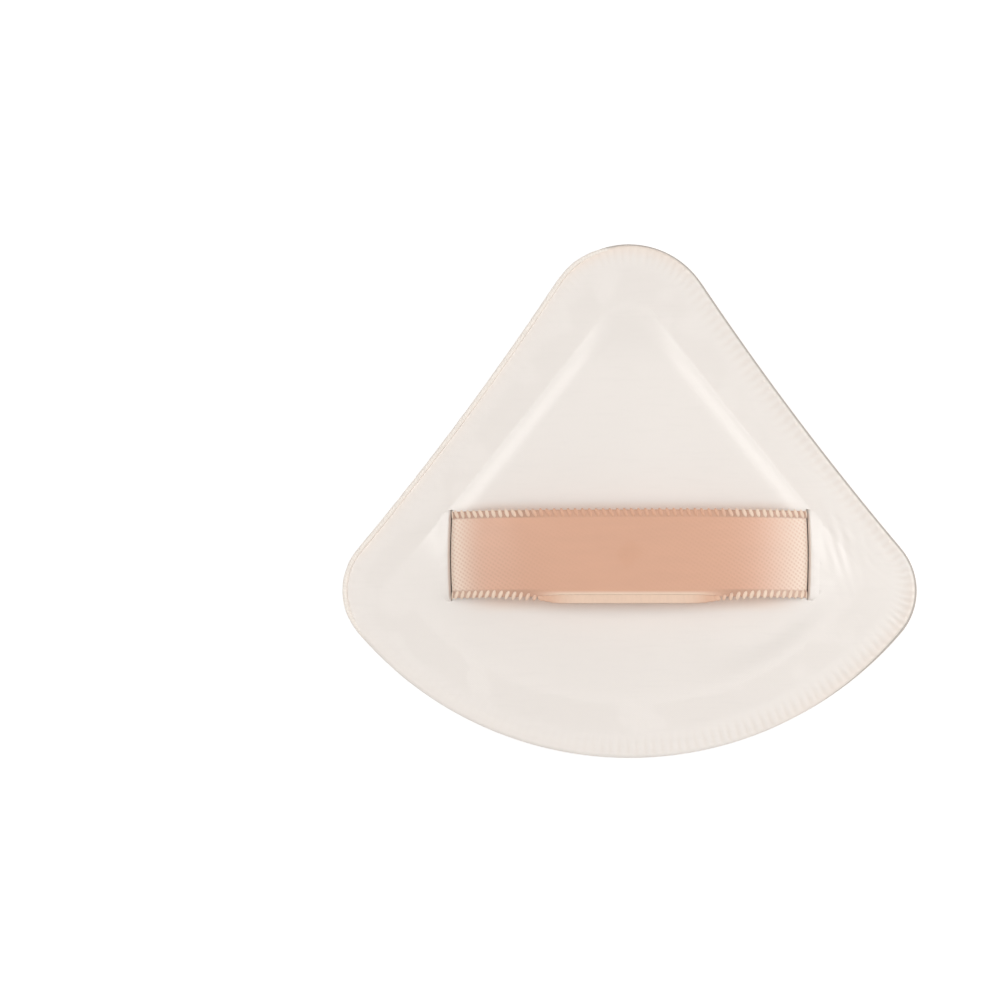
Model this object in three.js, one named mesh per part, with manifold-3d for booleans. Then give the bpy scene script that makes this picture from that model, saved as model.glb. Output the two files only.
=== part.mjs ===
import * as THREE from "three";
import { mergeVertices } from "three/addons/utils/BufferGeometryUtils.js";
import Module from "manifold-3d";

// A fan-shaped powder puff with a finger ribbon, lying on its powdering face with the ribbon up.
// Millimetres, +Z up. The rounded tip points towards +Y, and the origin is on the resting plane
// under the middle of the outline.

// Outline of the puff: a rounded tip, two sides that bow inwards a little, two round corners and
// one wide arc for a base. The side angle is measured from the line through the tip.
const puffWidth = 78.2;
const puffLength = 70.3;
const tipRadius = 11.9;
const cornerRadius = 8.9;
const sideAngle = THREE.MathUtils.degToRad(36.6);
const sideBow = 0.65;

// Cloth, and the clearance that every piece keeps from the next
const clearance = 0.3;
const faceThickness = 0.9;
const coverThickness = 0.5;

// Side of the puff: the face cover is widest at the side height, turns over to a narrow lip above
// it, and below it rolls to the powdering face. The crown's tip is pressed flat where it rests.
const sideHeight = 7.4;
const lipRise = 0.8;
const lipTurn = 0.5;
const crownWidth = 16;
const crownPressed = 0.5;
const crownFullness = 2.2;

// Rolled piping round the edge of the back
const pipingRadius = 0.34;
const pipingInset = 0.25;

// Raised middle of the back, in the same kind of outline, set in from the puff's tip, base and sides
const raisedTipInset = 8.2;
const raisedBaseInset = 7.3;
const raisedSideInset = 7.3;
const raisedTipRadius = 4.4;
const raisedCornerRadius = 3.2;
const raisedSideAngle = THREE.MathUtils.degToRad(38.8);
const raisedSideBow = 0.3;
const raisedStep = 1.1;
const raisedSlopeWidth = 2;
const raisedCrown = 0.7;

// Firm pad that raises it, let into the core
const padDepth = 1.5;
const padEdgeInset = 0.6;

// Finger ribbon, whose middle lies a distance from the puff's tip
const ribbonWidth = 12;
const ribbonThickness = 0.35;
const ribbonSpan = 48.8;
const ribbonFromTip = 42.75;
const ribbonLift = 4.5;
const ribbonEndAngle = THREE.MathUtils.degToRad(28);
const ribbonFoldRadius = 0.9;
const ribbonFoldHeight = 1;
const ribbonCrestShare = 0.55;
const ribbonEndShare = 0.28;

// Its tails, which turn back under the cover, and the adhesive patch under each
const tailLength = 10.9;
const tailAngle = THREE.MathUtils.degToRad(26);
const tailFoldRadius = 0.55;
const tailEaseRadius = 1;
const patchWidth = 14;
const patchLength = 8;
const patchThickness = 0.3;
const patchMargin = 1;

// Slits that the ribbon comes out of: each shows a little open beyond the ribbon, most in its middle
const slitGap = 0.35;
const slitBow = 0.2;

// How far a cutter runs past what it cuts
const overrun = 1;

// Share of a fan's smallest radius up to which its outline is set in evenly
const parallelShare = 0.75;

// Steps along each arc of an outline, round the crown, up the slope and over the crown of the back
const baseSteps = 20;
const cornerSteps = 8;
const sideSteps = 5;
const tipSteps = 10;
const crownSteps = 8;
const slopeSteps = 4;
const domeSteps = 3;
const pipingSteps = 8;
const bendSteps = 6;
const strapSteps = 14;

// Levels, from the resting plane up
const lipTop = sideHeight + lipRise;
const flangeBottom = lipTop + clearance;
const flangeTop = flangeBottom + coverThickness;
const seatFloor = lipTop - padDepth;
const padBottom = seatFloor + clearance;

// The tails clear the underside of the cover, on its flange and under its slope
const ribbonBottom = lipTop + clearance;
const tailLevel = flangeBottom + raisedStep - clearance - ribbonThickness / 2;

// A patch lies between a tail and the pad, and reaches past the tail's end
const tailEnd = ribbonSpan / 2 - tailLength;
const patchBottom = tailLevel - ribbonThickness / 2 - clearance - patchThickness;
const patchStart = tailEnd - patchMargin;

// The ribbon's middle, from the middle of the outline down towards the base
const ribbonOffset = ribbonFromTip - puffLength / 2;

const heading = (from, to) => Math.atan2(to.y - from.y, to.x - from.x);
const mirrored = (point) => new THREE.Vector2(-point.x, point.y);

// The arc centres and radii of a fan. The sides' chord line touches the tip and corner circles, the
// base arc holds both corner circles, and each side's arc touches its two circles from outside.
function makeFan({ width, length, bottom, tip, corner, angle, bow }) {
  const tipCentre = new THREE.Vector2(0, bottom + length - tip);
  const cornerX = width / 2 - corner;
  const drop = (cornerX * Math.cos(angle) - (tip - corner)) / Math.sin(angle);
  const cornerCentre = new THREE.Vector2(cornerX, tipCentre.y - drop);
  const rise = cornerCentre.y - bottom;
  const baseRadius = (cornerX ** 2 + rise ** 2 - corner ** 2) / (2 * (rise - corner));
  const apart = tipCentre.distanceTo(cornerCentre);
  const chordSquared = apart ** 2 - (tip - corner) ** 2;
  const sideRadius = chordSquared / (8 * bow) + bow / 2 - (tip + corner) / 2;
  const along = ((sideRadius + tip) ** 2 - (sideRadius + corner) ** 2 + apart ** 2) / (2 * apart);
  const across = Math.sqrt((sideRadius + tip) ** 2 - along ** 2);
  const down = cornerCentre.clone().sub(tipCentre).normalize();
  const out = new THREE.Vector2(-down.y, down.x);
  const middleY = (bottom + tip + tipCentre.y * Math.sin(angle)) / (1 + Math.sin(angle));
  return {
    tipCentre,
    cornerCentre,
    baseCentre: new THREE.Vector2(0, bottom + baseRadius),
    sideCentre: tipCentre.clone().addScaledVector(down, along).addScaledVector(out, across),
    tipRadius: tip,
    cornerRadius: corner,
    baseRadius,
    sideRadius,
    middle: new THREE.Vector2(0, middleY),
    reach: middleY - bottom,
  };
}

// The points of a fan's outline, set in by a distance, round from its left corner's lower end
function outlineOf(fan, inset) {
  const { tipCentre, cornerCentre, baseCentre, sideCentre } = fan;
  const cornerLeft = mirrored(cornerCentre);
  const sideLeft = mirrored(sideCentre);
  const tipR = fan.tipRadius - inset;
  const cornerR = fan.cornerRadius - inset;
  const baseR = fan.baseRadius - inset;
  const sideR = fan.sideRadius + inset;
  const baseStart = heading(baseCentre, cornerLeft);
  const baseEnd = heading(baseCentre, cornerCentre);
  const arcs = [
    [baseCentre, baseR, baseStart, baseEnd, false, baseSteps],
    [cornerCentre, cornerR, baseEnd, heading(cornerCentre, sideCentre), false, cornerSteps],
    [sideCentre, sideR, heading(sideCentre, cornerCentre), heading(sideCentre, tipCentre), true, sideSteps],
    [tipCentre, tipR, heading(tipCentre, sideCentre), heading(tipCentre, sideLeft), false, tipSteps],
    [sideLeft, sideR, heading(sideLeft, tipCentre), heading(sideLeft, cornerLeft), true, sideSteps],
    [cornerLeft, cornerR, heading(cornerLeft, sideLeft), baseStart, false, cornerSteps],
  ];
  return arcs.flatMap(([centre, radius, start, end, clockwise, steps]) =>
    new THREE.ArcCurve(centre.x, centre.y, radius, start, end, clockwise).getPoints(steps).slice(0, -1),
  );
}

// A level ring, set in from a fan. Past a share of the distance where its corners would come to a
// point it shrinks evenly towards the fan's middle instead.
function ring(fan, inset, z) {
  const parallel = parallelShare * Math.min(fan.tipRadius, fan.cornerRadius);
  const points = outlineOf(fan, Math.min(inset, parallel));
  const shrink = Math.max(0, inset - parallel) / (fan.reach - parallel);
  return points.map((p) => {
    const moved = p.lerp(fan.middle, shrink);
    return new THREE.Vector3(moved.x, moved.y, z);
  });
}

// A closed skin over rings of equally many points, which run outwards and upwards round the
// material. The first and last ring are filled to a fan's middle, or joined to each other.
function skin(rings, fan, joined = false) {
  const count = rings[0].length;
  const points = rings.flat();
  const faces = [];
  const last = joined ? rings.length : rings.length - 1;
  for (let i = 0; i < last; i += 1) {
    const low = i * count;
    const high = ((i + 1) % rings.length) * count;
    for (let j = 0; j < count; j += 1) {
      const next = (j + 1) % count;
      faces.push(low + j, low + next, high + next);
      faces.push(low + j, high + next, high + j);
    }
  }
  if (!joined) {
    const top = (rings.length - 1) * count;
    const start = points.push(new THREE.Vector3(fan.middle.x, fan.middle.y, rings[0][0].z)) - 1;
    const end = points.push(new THREE.Vector3(fan.middle.x, fan.middle.y, rings.at(-1)[0].z)) - 1;
    for (let j = 0; j < count; j += 1) {
      const next = (j + 1) % count;
      faces.push(start, next, j);
      faces.push(end, top + j, top + next);
    }
  }
  const geometry = new THREE.BufferGeometry().setFromPoints(points);
  geometry.setIndex(faces);
  return geometry;
}

const wasm = await Module();
wasm.setup();

function toSolid(geometry) {
  const bare = new THREE.BufferGeometry();
  bare.setAttribute("position", geometry.getAttribute("position"));
  bare.setIndex(geometry.getIndex());
  const merged = mergeVertices(bare);
  const triVerts = new Uint32Array(merged.index.array);
  const vertProperties = merged.attributes.position.array;
  return new wasm.Manifold(new wasm.Mesh({ numProp: 3, vertProperties, triVerts }));
}

function cut(geometry, cutters) {
  let solid = toSolid(geometry);
  for (const cutter of cutters) {
    solid = solid.subtract(toSolid(cutter));
  }
  const { vertProperties, triVerts } = solid.getMesh();
  const result = new THREE.BufferGeometry();
  result.setAttribute("position", new THREE.BufferAttribute(vertProperties, 3));
  result.setIndex(new THREE.BufferAttribute(triVerts, 1));
  return result;
}

// A box between two opposite corners
function boxBetween(low, high) {
  const size = high.clone().sub(low);
  const centre = low.clone().add(high).multiplyScalar(1 / 2);
  return new THREE.BoxGeometry(size.x, size.y, size.z).translate(centre.x, centre.y, centre.z);
}

// Quarter turns of the crown: how far in and how far down, as shares of its width and depth
const crownIn = (turn) => 1 - Math.cos(turn) ** (2 / crownFullness);
const crownDown = (turn) => Math.sin(turn) ** (2 / crownFullness);

// The rings of a crown from the side to the level where it is flat. Each skin of the puff's face
// lies a depth inside the cloth's outer surface.
function crownRings(depth, floor) {
  const width = crownWidth - depth;
  const height = sideHeight + crownPressed - depth;
  const flat = Math.asin(((sideHeight - floor) / height) ** (crownFullness / 2));
  const rings = [];
  for (let i = 0; i <= crownSteps; i += 1) {
    const turn = (flat * i) / crownSteps;
    rings.push(ring(puffFan, depth + width * crownIn(turn), sideHeight - height * crownDown(turn)));
  }
  return rings;
}

// Height of the back's top surface at a distance inside the raised middle's foot, up its slope
const slopeHeight = (inset) =>
  flangeTop + raisedStep * Math.sin((Math.PI / 2) * Math.min(1, inset / raisedSlopeWidth));

// The rings of the raised middle, a depth below the top of the cover, from a distance inside its
// foot, up the slope and over the crown
function raisedRings(depth, start) {
  const rings = [];
  for (let i = 0; i <= slopeSteps; i += 1) {
    const inset = start + ((raisedSlopeWidth - start) * i) / slopeSteps;
    rings.push(ring(raisedFan, inset, slopeHeight(inset) - depth));
  }
  const edge = rings.at(-1);
  for (let i = 1; i <= domeSteps; i += 1) {
    const share = i / (domeSteps + 1);
    const rise = raisedCrown * (1 - (1 - share) ** 2);
    const middle = new THREE.Vector3(raisedFan.middle.x, raisedFan.middle.y, edge[0].z);
    rings.push(edge.map((p) => p.clone().lerp(middle, share).setZ(edge[0].z + rise)));
  }
  return rings;
}

const puffFan = makeFan({
  width: puffWidth,
  length: puffLength,
  bottom: -puffLength / 2,
  tip: tipRadius,
  corner: cornerRadius,
  angle: sideAngle,
  bow: sideBow,
});
const raisedFan = makeFan({
  width: puffWidth - 2 * raisedSideInset,
  length: puffLength - raisedBaseInset - raisedTipInset,
  bottom: -puffLength / 2 + raisedBaseInset,
  tip: raisedTipRadius,
  corner: raisedCornerRadius,
  angle: raisedSideAngle,
  bow: raisedSideBow,
});

// Velour cover of the powdering face: a shallow dish that wraps the core up to the lip
function faceCover() {
  const outside = crownRings(0, 0).reverse();
  const turn = [1, 2].map((i) => {
    const angle = (i * Math.PI) / 4;
    return ring(puffFan, lipTurn * (1 - Math.cos(angle)), sideHeight + lipRise * Math.sin(angle));
  });
  const lip = ring(puffFan, faceThickness, lipTop);
  const inside = crownRings(faceThickness, faceThickness);
  return skin([...outside, ...turn, lip, ...inside], puffFan);
}

// Foam core, with a seat in its top for the pad
function foamCore() {
  const inset = faceThickness + clearance;
  const outside = crownRings(inset, inset).reverse();
  const shoulder = ring(puffFan, inset + lipTurn, lipTop);
  const seatInset = padEdgeInset - clearance;
  const seat = [ring(raisedFan, seatInset, lipTop), ring(raisedFan, seatInset, seatFloor)];
  return skin([...outside, shoulder, ...seat], puffFan);
}

// The ribbon's centre line from its crest to the end of one tail, in the X-Z plane
function ribbonHalf() {
  const legX = (ribbonSpan - ribbonThickness) / 2;
  const foldX = legX - ribbonFoldRadius;
  const foldZ = flangeTop + ribbonFoldHeight;
  const endTurn = Math.PI / 2 - ribbonEndAngle;
  const strapEnd = new THREE.Vector2(
    foldX + ribbonFoldRadius * Math.cos(endTurn),
    foldZ + ribbonFoldRadius * Math.sin(endTurn),
  );
  const crest = new THREE.Vector2(0, strapEnd.y + ribbonLift);
  const reach = ribbonEndShare * strapEnd.x;
  const strap = new THREE.CubicBezierCurve(
    crest,
    new THREE.Vector2(ribbonCrestShare * strapEnd.x, crest.y),
    new THREE.Vector2(
      strapEnd.x - reach * Math.cos(ribbonEndAngle),
      strapEnd.y + reach * Math.sin(ribbonEndAngle),
    ),
    strapEnd,
  );
  const fold = new THREE.ArcCurve(foldX, foldZ, ribbonFoldRadius, endTurn, 0, true);
  const tuckX = legX - tailFoldRadius;
  const tuckZ = ribbonBottom + ribbonThickness / 2 + tailFoldRadius;
  const tuckEnd = -Math.PI / 2 - tailAngle;
  const tuck = new THREE.ArcCurve(tuckX, tuckZ, tailFoldRadius, 0, tuckEnd, true);
  const slopeStart = new THREE.Vector2(
    tuckX + tailFoldRadius * Math.cos(tuckEnd),
    tuckZ + tailFoldRadius * Math.sin(tuckEnd),
  );
  const easeZ = tailLevel - tailEaseRadius;
  const slopeEndZ = easeZ + tailEaseRadius * Math.cos(tailAngle);
  const slopeEndX = slopeStart.x - (slopeEndZ - slopeStart.y) / Math.tan(tailAngle);
  const easeX = slopeEndX - tailEaseRadius * Math.sin(tailAngle);
  const easeTurn = Math.PI / 2 - tailAngle;
  const ease = new THREE.ArcCurve(easeX, easeZ, tailEaseRadius, easeTurn, Math.PI / 2, false);
  return [
    ...strap.getPoints(strapSteps),
    ...fold.getPoints(bendSteps).slice(1),
    ...tuck.getPoints(bendSteps),
    ...ease.getPoints(bendSteps / 2),
    new THREE.Vector2(tailEnd, tailLevel),
  ];
}

// The ribbon is a strip of constant thickness about its centre line, as wide as the ribbon
function fingerRibbon() {
  const half = ribbonHalf();
  const left = half.slice(1).reverse().map(mirrored);
  const line = [...left, ...half];
  const side = (offset) =>
    line.map((p, i) => {
      const before = line[Math.max(i - 1, 0)];
      const after = line[Math.min(i + 1, line.length - 1)];
      const along = after.clone().sub(before).normalize();
      return new THREE.Vector2(p.x - offset * along.y, p.y + offset * along.x);
    });
  const section = new THREE.Shape([...side(ribbonThickness / 2), ...side(-ribbonThickness / 2).reverse()]);
  const strip = new THREE.ExtrudeGeometry(section, { depth: ribbonWidth, bevelEnabled: false });
  return strip.rotateX(Math.PI / 2).translate(0, ribbonWidth / 2 - ribbonOffset, 0);
}

// Satin cover of the back: a flat flange, the raised middle and the two slits
function backCover() {
  const edge = pipingInset + 2 * pipingRadius + clearance;
  const under = raisedRings(coverThickness, 0).reverse();
  const rim = [ring(puffFan, edge, flangeBottom), ring(puffFan, edge, flangeTop)];
  const over = raisedRings(0, 0);
  return cut(skin([...under, ...rim, ...over], raisedFan), [slitCutter(1), slitCutter(-1)]);
}

// A slit's cutter: straight on the ribbon's inner side and bowed on its outer side
function slitCutter(side) {
  const inner = (ribbonSpan - 2 * ribbonThickness) / 2 - clearance;
  const outer = ribbonSpan / 2 + slitGap;
  const half = ribbonWidth / 2 + clearance;
  const slot = new THREE.Shape();
  slot.moveTo(inner, -half);
  slot.lineTo(outer, -half);
  slot.quadraticCurveTo(outer + 2 * slitBow, 0, outer, half);
  slot.lineTo(inner, half);
  slot.closePath();
  const depth = coverThickness + raisedStep + 2 * overrun;
  const cutter = new THREE.ExtrudeGeometry(slot, { depth, bevelEnabled: false, curveSegments: bendSteps });
  const turned = side > 0 ? cutter : cutter.rotateZ(Math.PI);
  return turned.translate(0, -ribbonOffset, flangeBottom - overrun);
}

// Firm pad under the raised middle, recessed for each tail, its fold and its patch
function backPad() {
  const depth = coverThickness + clearance;
  const bottom = ring(raisedFan, padEdgeInset, padBottom);
  const top = raisedRings(depth, padEdgeInset);
  return cut(skin([bottom, ...top], raisedFan), [...recesses(1), ...recesses(-1)]);
}

function recesses(side) {
  const top = flangeTop + raisedStep + raisedCrown + overrun;
  const patchHalf = patchWidth / 2 + clearance;
  const patchLow = new THREE.Vector3(patchStart - clearance, -patchHalf, patchBottom - clearance);
  const patchHigh = new THREE.Vector3(patchStart + patchLength + clearance, patchHalf, top);
  const foldHalf = ribbonWidth / 2 + clearance;
  const foldLow = new THREE.Vector3(patchHigh.x - overrun, -foldHalf, ribbonBottom - clearance);
  const foldHigh = new THREE.Vector3(ribbonSpan / 2 + slitGap, foldHalf, top);
  return [boxBetween(patchLow, patchHigh), boxBetween(foldLow, foldHigh)].map((box) => {
    const turned = side > 0 ? box : box.rotateZ(Math.PI);
    return turned.translate(0, -ribbonOffset, 0);
  });
}

// Adhesive patch of one tail
function tailPatch(side) {
  const low = new THREE.Vector3(patchStart, -patchWidth / 2, 0);
  const high = new THREE.Vector3(patchStart + patchLength, patchWidth / 2, patchThickness);
  const patch = boxBetween(low, high);
  return side > 0 ? patch : patch.rotateZ(Math.PI);
}

// Rolled piping that lies on the lip, round the edge of the back cover
function edgePiping() {
  const rings = [];
  for (let i = 0; i < pipingSteps; i += 1) {
    const turn = (2 * Math.PI * i) / pipingSteps;
    const inset = pipingInset + pipingRadius * (1 - Math.cos(turn));
    rings.push(ring(puffFan, inset, pipingRadius * Math.sin(turn)));
  }
  return skin(rings, puffFan, true);
}

const material = (color, roughness) =>
  new THREE.MeshStandardMaterial({ color, roughness, metalness: 0 });
const velour = material(0xd1ad92, 0.95);
const satin = material(0xf0e7e1, 0.45);
const cream = material(0xfff4e4, 0.6);
const ribbonCloth = material(0xdeb096, 0.45);
const foam = material(0xf3ead9, 0.9);
const padFoam = material(0xf7f5f0, 0.9);
const adhesive = material(0xe9e6dd, 0.5);

function named(name, geometry, material) {
  geometry.computeVertexNormals();
  const mesh = new THREE.Mesh(geometry, material);
  mesh.name = name;
  return mesh;
}

const piping = named("edge_piping", edgePiping(), cream);
piping.position.z = lipTop + clearance + pipingRadius;

const patches = new THREE.Group();
patches.add(named("tail_patch_right", tailPatch(1), adhesive));
patches.add(named("tail_patch_left", tailPatch(-1), adhesive.clone()));
patches.position.set(0, -ribbonOffset, patchBottom);

const puff = new THREE.Group();
puff.name = "powder_puff";
puff.add(
  named("face_cover", faceCover(), velour),
  named("foam_core", foamCore(), foam),
  named("back_pad", backPad(), padFoam),
  named("back_cover", backCover(), satin),
  named("finger_ribbon", fingerRibbon(), ribbonCloth),
  piping,
  patches,
);

export default puff;
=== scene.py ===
import math

import bmesh
import bpy
import numpy as np
from bpy.props import FloatProperty, FloatVectorProperty, IntProperty, PointerProperty
from mathutils import Matrix, Vector
from mathutils.bvhtree import BVHTree


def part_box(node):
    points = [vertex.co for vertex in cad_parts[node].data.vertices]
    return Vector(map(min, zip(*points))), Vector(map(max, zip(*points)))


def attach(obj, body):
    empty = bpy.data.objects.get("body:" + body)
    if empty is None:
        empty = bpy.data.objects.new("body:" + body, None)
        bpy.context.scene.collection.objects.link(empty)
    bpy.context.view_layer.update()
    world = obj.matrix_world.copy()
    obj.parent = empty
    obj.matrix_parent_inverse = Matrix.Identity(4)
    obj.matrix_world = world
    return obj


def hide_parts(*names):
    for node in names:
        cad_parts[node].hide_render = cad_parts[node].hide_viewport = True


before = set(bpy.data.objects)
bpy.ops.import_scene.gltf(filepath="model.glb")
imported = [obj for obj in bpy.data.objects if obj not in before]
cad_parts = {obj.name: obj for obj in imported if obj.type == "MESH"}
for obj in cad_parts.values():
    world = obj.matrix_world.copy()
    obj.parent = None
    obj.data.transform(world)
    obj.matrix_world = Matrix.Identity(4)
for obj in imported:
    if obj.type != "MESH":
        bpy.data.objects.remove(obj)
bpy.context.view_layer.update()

bl_info = {
    "name": "Powder puff",
    "version": (1, 0, 0),
    "blender": (4, 5, 0),
    "location": "3D View > Sidebar > Powder puff",
    "description": "Makes a fan-shaped velour powder puff with a satin back and a finger ribbon",
    "category": "Add Mesh",
}

# A millimetre in metres, the CAD box of the whole puff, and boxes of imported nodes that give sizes
MM = 0.001
FACE_LOW, FACE_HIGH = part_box("face_cover")
COVER_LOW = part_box("back_cover")[0]
PIPING_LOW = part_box("edge_piping")[0]
RIBBON_LOW, RIBBON_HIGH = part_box("finger_ribbon")
PATCH_LOW, PATCH_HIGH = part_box("tail_patch_right")

# The flange's upper side, the width of the cover's rim, and how far in its painted warm reflection
# fades
FLANGE_TOP = COVER_LOW.z + 0.5 * MM
RIM_WIDTH, RIM_GLOW_FADE = 1.7 * MM, 1.35 * MM

# The core's seat for the pad, how deep the pad sits in it, the pad's upright edge and its bevel,
# and the room under the cover's cloth
SEAT_INSET, SEAT_DEPTH = 0.3 * MM, 1.5 * MM
PAD_DEPTH, PAD_EDGE, PAD_BEVEL, PAD_ROOM = 1.2 * MM, 0.7 * MM, 0.2 * MM, 0.25 * MM

# Room of a tail's recess in the pad under its patch, beside the ribbon and past the slit, and how
# high the recess is cut
RECESS_ROOM, RECESS_SIDE, RECESS_PAST, RECESS_TOP = 0.3 * MM, 1.3 * MM, 0.05 * MM, 20 * MM

# How far the ribbon's folds sit inside its packed span, how far a slit reaches beyond the ribbon's
# edges, and the heights between which it is cut
FOLD_SHIFT = 0.42 * MM
SLIT_BEYOND = 0.2 * MM
SLIT_CUT = (6 * MM, 14 * MM)

# How far a slit is cut out under its lip and in past the ribbon's inner face, how wide its part is
# that is longer than the ribbon, and how far inside the ribbon's edges its other part ends
SLIT_UNDER, SLIT_INSIDE, SLIT_LONG, SLIT_POCKET = 0.1 * MM, 0.2 * MM, 0.46 * MM, 0.3 * MM

# How far the strap's cloth and its lines of loops lie inside the ribbon's edges, how far the loops
# hang out along the middle of the lower edge, and how high they are
STRAP_INSET, LOOP_INSET, LOOP_DROP, LOOP_HEIGHT = 0.15 * MM, 0.52 * MM, 0.7 * MM, 0.24 * MM

# Room under the rolled edge, and how uneven its cloth is
ROLL_ROOM, ROLL_UNEVENNESS = 0.02 * MM, 0.12 * MM

# Share of a fan's smallest radius up to which its outline is set in evenly
PARALLEL_SHARE = 0.75

# Section of the cover's rim in millimetres, as inset from the puff's edge and height over the
# flange: its underside outwards and then its top inwards, where it wraps the rolled edge and where
# it lies beside it
RIM_UNDER_WRAPPED = ((1.2, -0.2), (0.84, -0.06), (0.58, -0.05), (0.46, -0.15))
RIM_UNDER_BESIDE = ((1.3, -0.3), (1.0, -0.3), (0.85, -0.3), (0.8, -0.29))
RIM_WRAPPED = (
    (0.5, -0.5), (0.42, -0.54), (0.35, -0.36), (0.38, 0.02),
    (0.55, 0.15), (0.83, 0.16), (1.17, 0.07),
)
RIM_BESIDE = (
    (0.74, -0.27), (0.69, -0.22), (0.65, -0.14), (0.69, -0.06),
    (0.78, -0.02), (0.95, 0), (1.25, 0),
)

# Section of a slit's turned-down lip in millimetres, as distance outwards and height over the
# cover: its top inwards, its inner side downwards and its underside outwards
LIP = (
    (2.1, -0.03), (1.7, -0.016), (1.3, -0.003), (0.9, 0.012), (0.5, 0.03),
    (0.2, 0.042), (0.08, 0.03), (0.0, -0.015), (-0.06, -0.1), (-0.13, -0.22),
    (-0.22, -0.36), (-0.3, -0.5), (-0.3, -0.6), (-0.2, -0.63), (0.0, -0.5),
    (0.1, -0.38), (0.2, -0.27), (0.34, -0.19), (0.9, -0.17), (2.0, -0.15),
)

# What the satin's relief and finish read at each point: how far it is from the puff's edge and
# round the puff, its share of the step and of the way over the dome, 1 on top, and its painted warm
# reflection
COVER_NUMBERS = ("across", "along", "raised", "dome", "top", "rim")

# Points along each arc of an outline (base, corner, side and tip) for the satin, the rolled edge,
# the foams and the velour
FINE_STEPS = (440, 130, 230, 120)
ROLL_STEPS = (330, 90, 190, 90)
PLAIN_STEPS = (150, 44, 80, 40)
CLOTH_STEPS = (60, 18, 32, 16)

# The cloth simulation runs on a larger copy, where it is steadier, for a number of frames, and its
# result is evened out round each ring a number of times
CLOTH_SCALE = 10
CLOTH_FRAMES = 20
CLOTH_EVENING = 8

# Where the lights aim, and for each one its place, its size and its tint. Their powers are settings
LIGHT_AIM = (0, 0, 8 * MM)
LIGHTS = {
    "top": ((0, -0.03, 0.95), (0.8, 0.8), (1, 0.993, 0.98)),
    "right": ((0.26, 0, 0.2), (0.12, 0.26), (1, 0.995, 0.98)),
    "left": ((-0.42, 0, 0.33), (0.2, 0.42), (1, 0.99, 0.97)),
    "back_right": ((0.205, 0.165, 0.217), (0.15, 0.2), (1, 0.995, 0.98)),
    "back_left": ((-0.33, 0.265, 0.35), (0.26, 0.34), (1, 0.99, 0.97)),
}


def metres(name, description, value, **limits):
    """A place or size that the sidebar shows, with its default given in metres."""
    kind = {"subtype": "DISTANCE", "unit": "LENGTH", **limits}
    return FloatProperty(name=name, description=description, default=value, **kind)


def length(name, description, millimetres):
    """A size with its default given in millimetres."""
    return metres(name, description, millimetres * MM, min=0, precision=5)


def turn(name, description, degrees):
    """An angle with its default given in degrees."""
    kind = {"subtype": "ANGLE", "unit": "ROTATION"}
    return FloatProperty(name=name, description=description, default=math.radians(degrees), **kind)


def share(name, description, value, high=1.0):
    """A plain number from nothing up to a highest value."""
    return FloatProperty(name=name, description=description, default=value, min=0, max=high)


def linear(red, green, blue):
    """A colour read as screen values from 0 to 255, in the linear values that Blender keeps."""
    values = (red / 255, green / 255, blue / 255)
    return tuple(v / 12.92 if v <= 0.04045 else ((v + 0.055) / 1.055) ** 2.4 for v in values)


def solid(red, green, blue):
    """The same with full opacity, as a shader's colour socket takes it."""
    return (*linear(red, green, blue), 1)


def colour(name, description, *screen):
    """A cloth's colour, with its default given as screen values."""
    kind = {"min": 0, "max": 1, "size": 3, "subtype": "COLOR"}
    return FloatVectorProperty(name=name, description=description, default=linear(*screen), **kind)


class PuffShape(bpy.types.PropertyGroup):
    """The outline of the puff and the roll of its side"""

    width: metres("Width", "Across the two corners", FACE_HIGH.x - FACE_LOW.x)
    length: metres("Length", "From the base to the tip", FACE_HIGH.y - FACE_LOW.y)
    lip_top: metres("Lip height", "Height of the velour lip that carries the back", FACE_HIGH.z)
    tip_radius: length("Tip radius", "Radius of the rounded tip", 11.9)
    corner_radius: length("Corner radius", "Radius of the two corners", 8.9)
    side_angle: turn("Side angle", "Angle between a side and the line through the tip", 36.6)
    side_bow: length("Side bow", "How far a side bows inwards", 0.65)
    lip_rise: length("Lip rise", "From the widest level of the side up to the lip", 0.8)
    lip_turn: length("Lip turn", "How far the lip turns in over its rise", 0.5)
    lip_width: length("Lip width", "From the edge to the inner side of the velour", 0.9)
    cloth_draw: length("Cloth drawn in", "How far in the cloth starts before it swells", 0.7)
    cloth_limit: length("Cloth limit", "How far the swelled cloth may lie from the plain form", 0.5)
    cloth_pressure: share("Cloth pressure", "Pressure inside the cloth as it swells", 4, 20)
    cloth_weight: share("Cloth weight", "Weight of a point of the cloth, in kilograms", 0.06, 1)
    lip_seam: length("Lip seam", "How far the lip rises further to meet the rim of the back", 0.27)
    crown_width: length("Crown width", "Width of the roll from the side to the flat face", 16)
    crown_pressed: length("Crown pressed", "How much of the roll is pressed flat at rest", 0.5)
    crown_fullness: share("Crown fullness", "Fullness of the roll: 2 is an ellipse", 2.2, 4)
    clearance: length("Clearance", "Room that a piece keeps from the next", 0.3)


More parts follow.
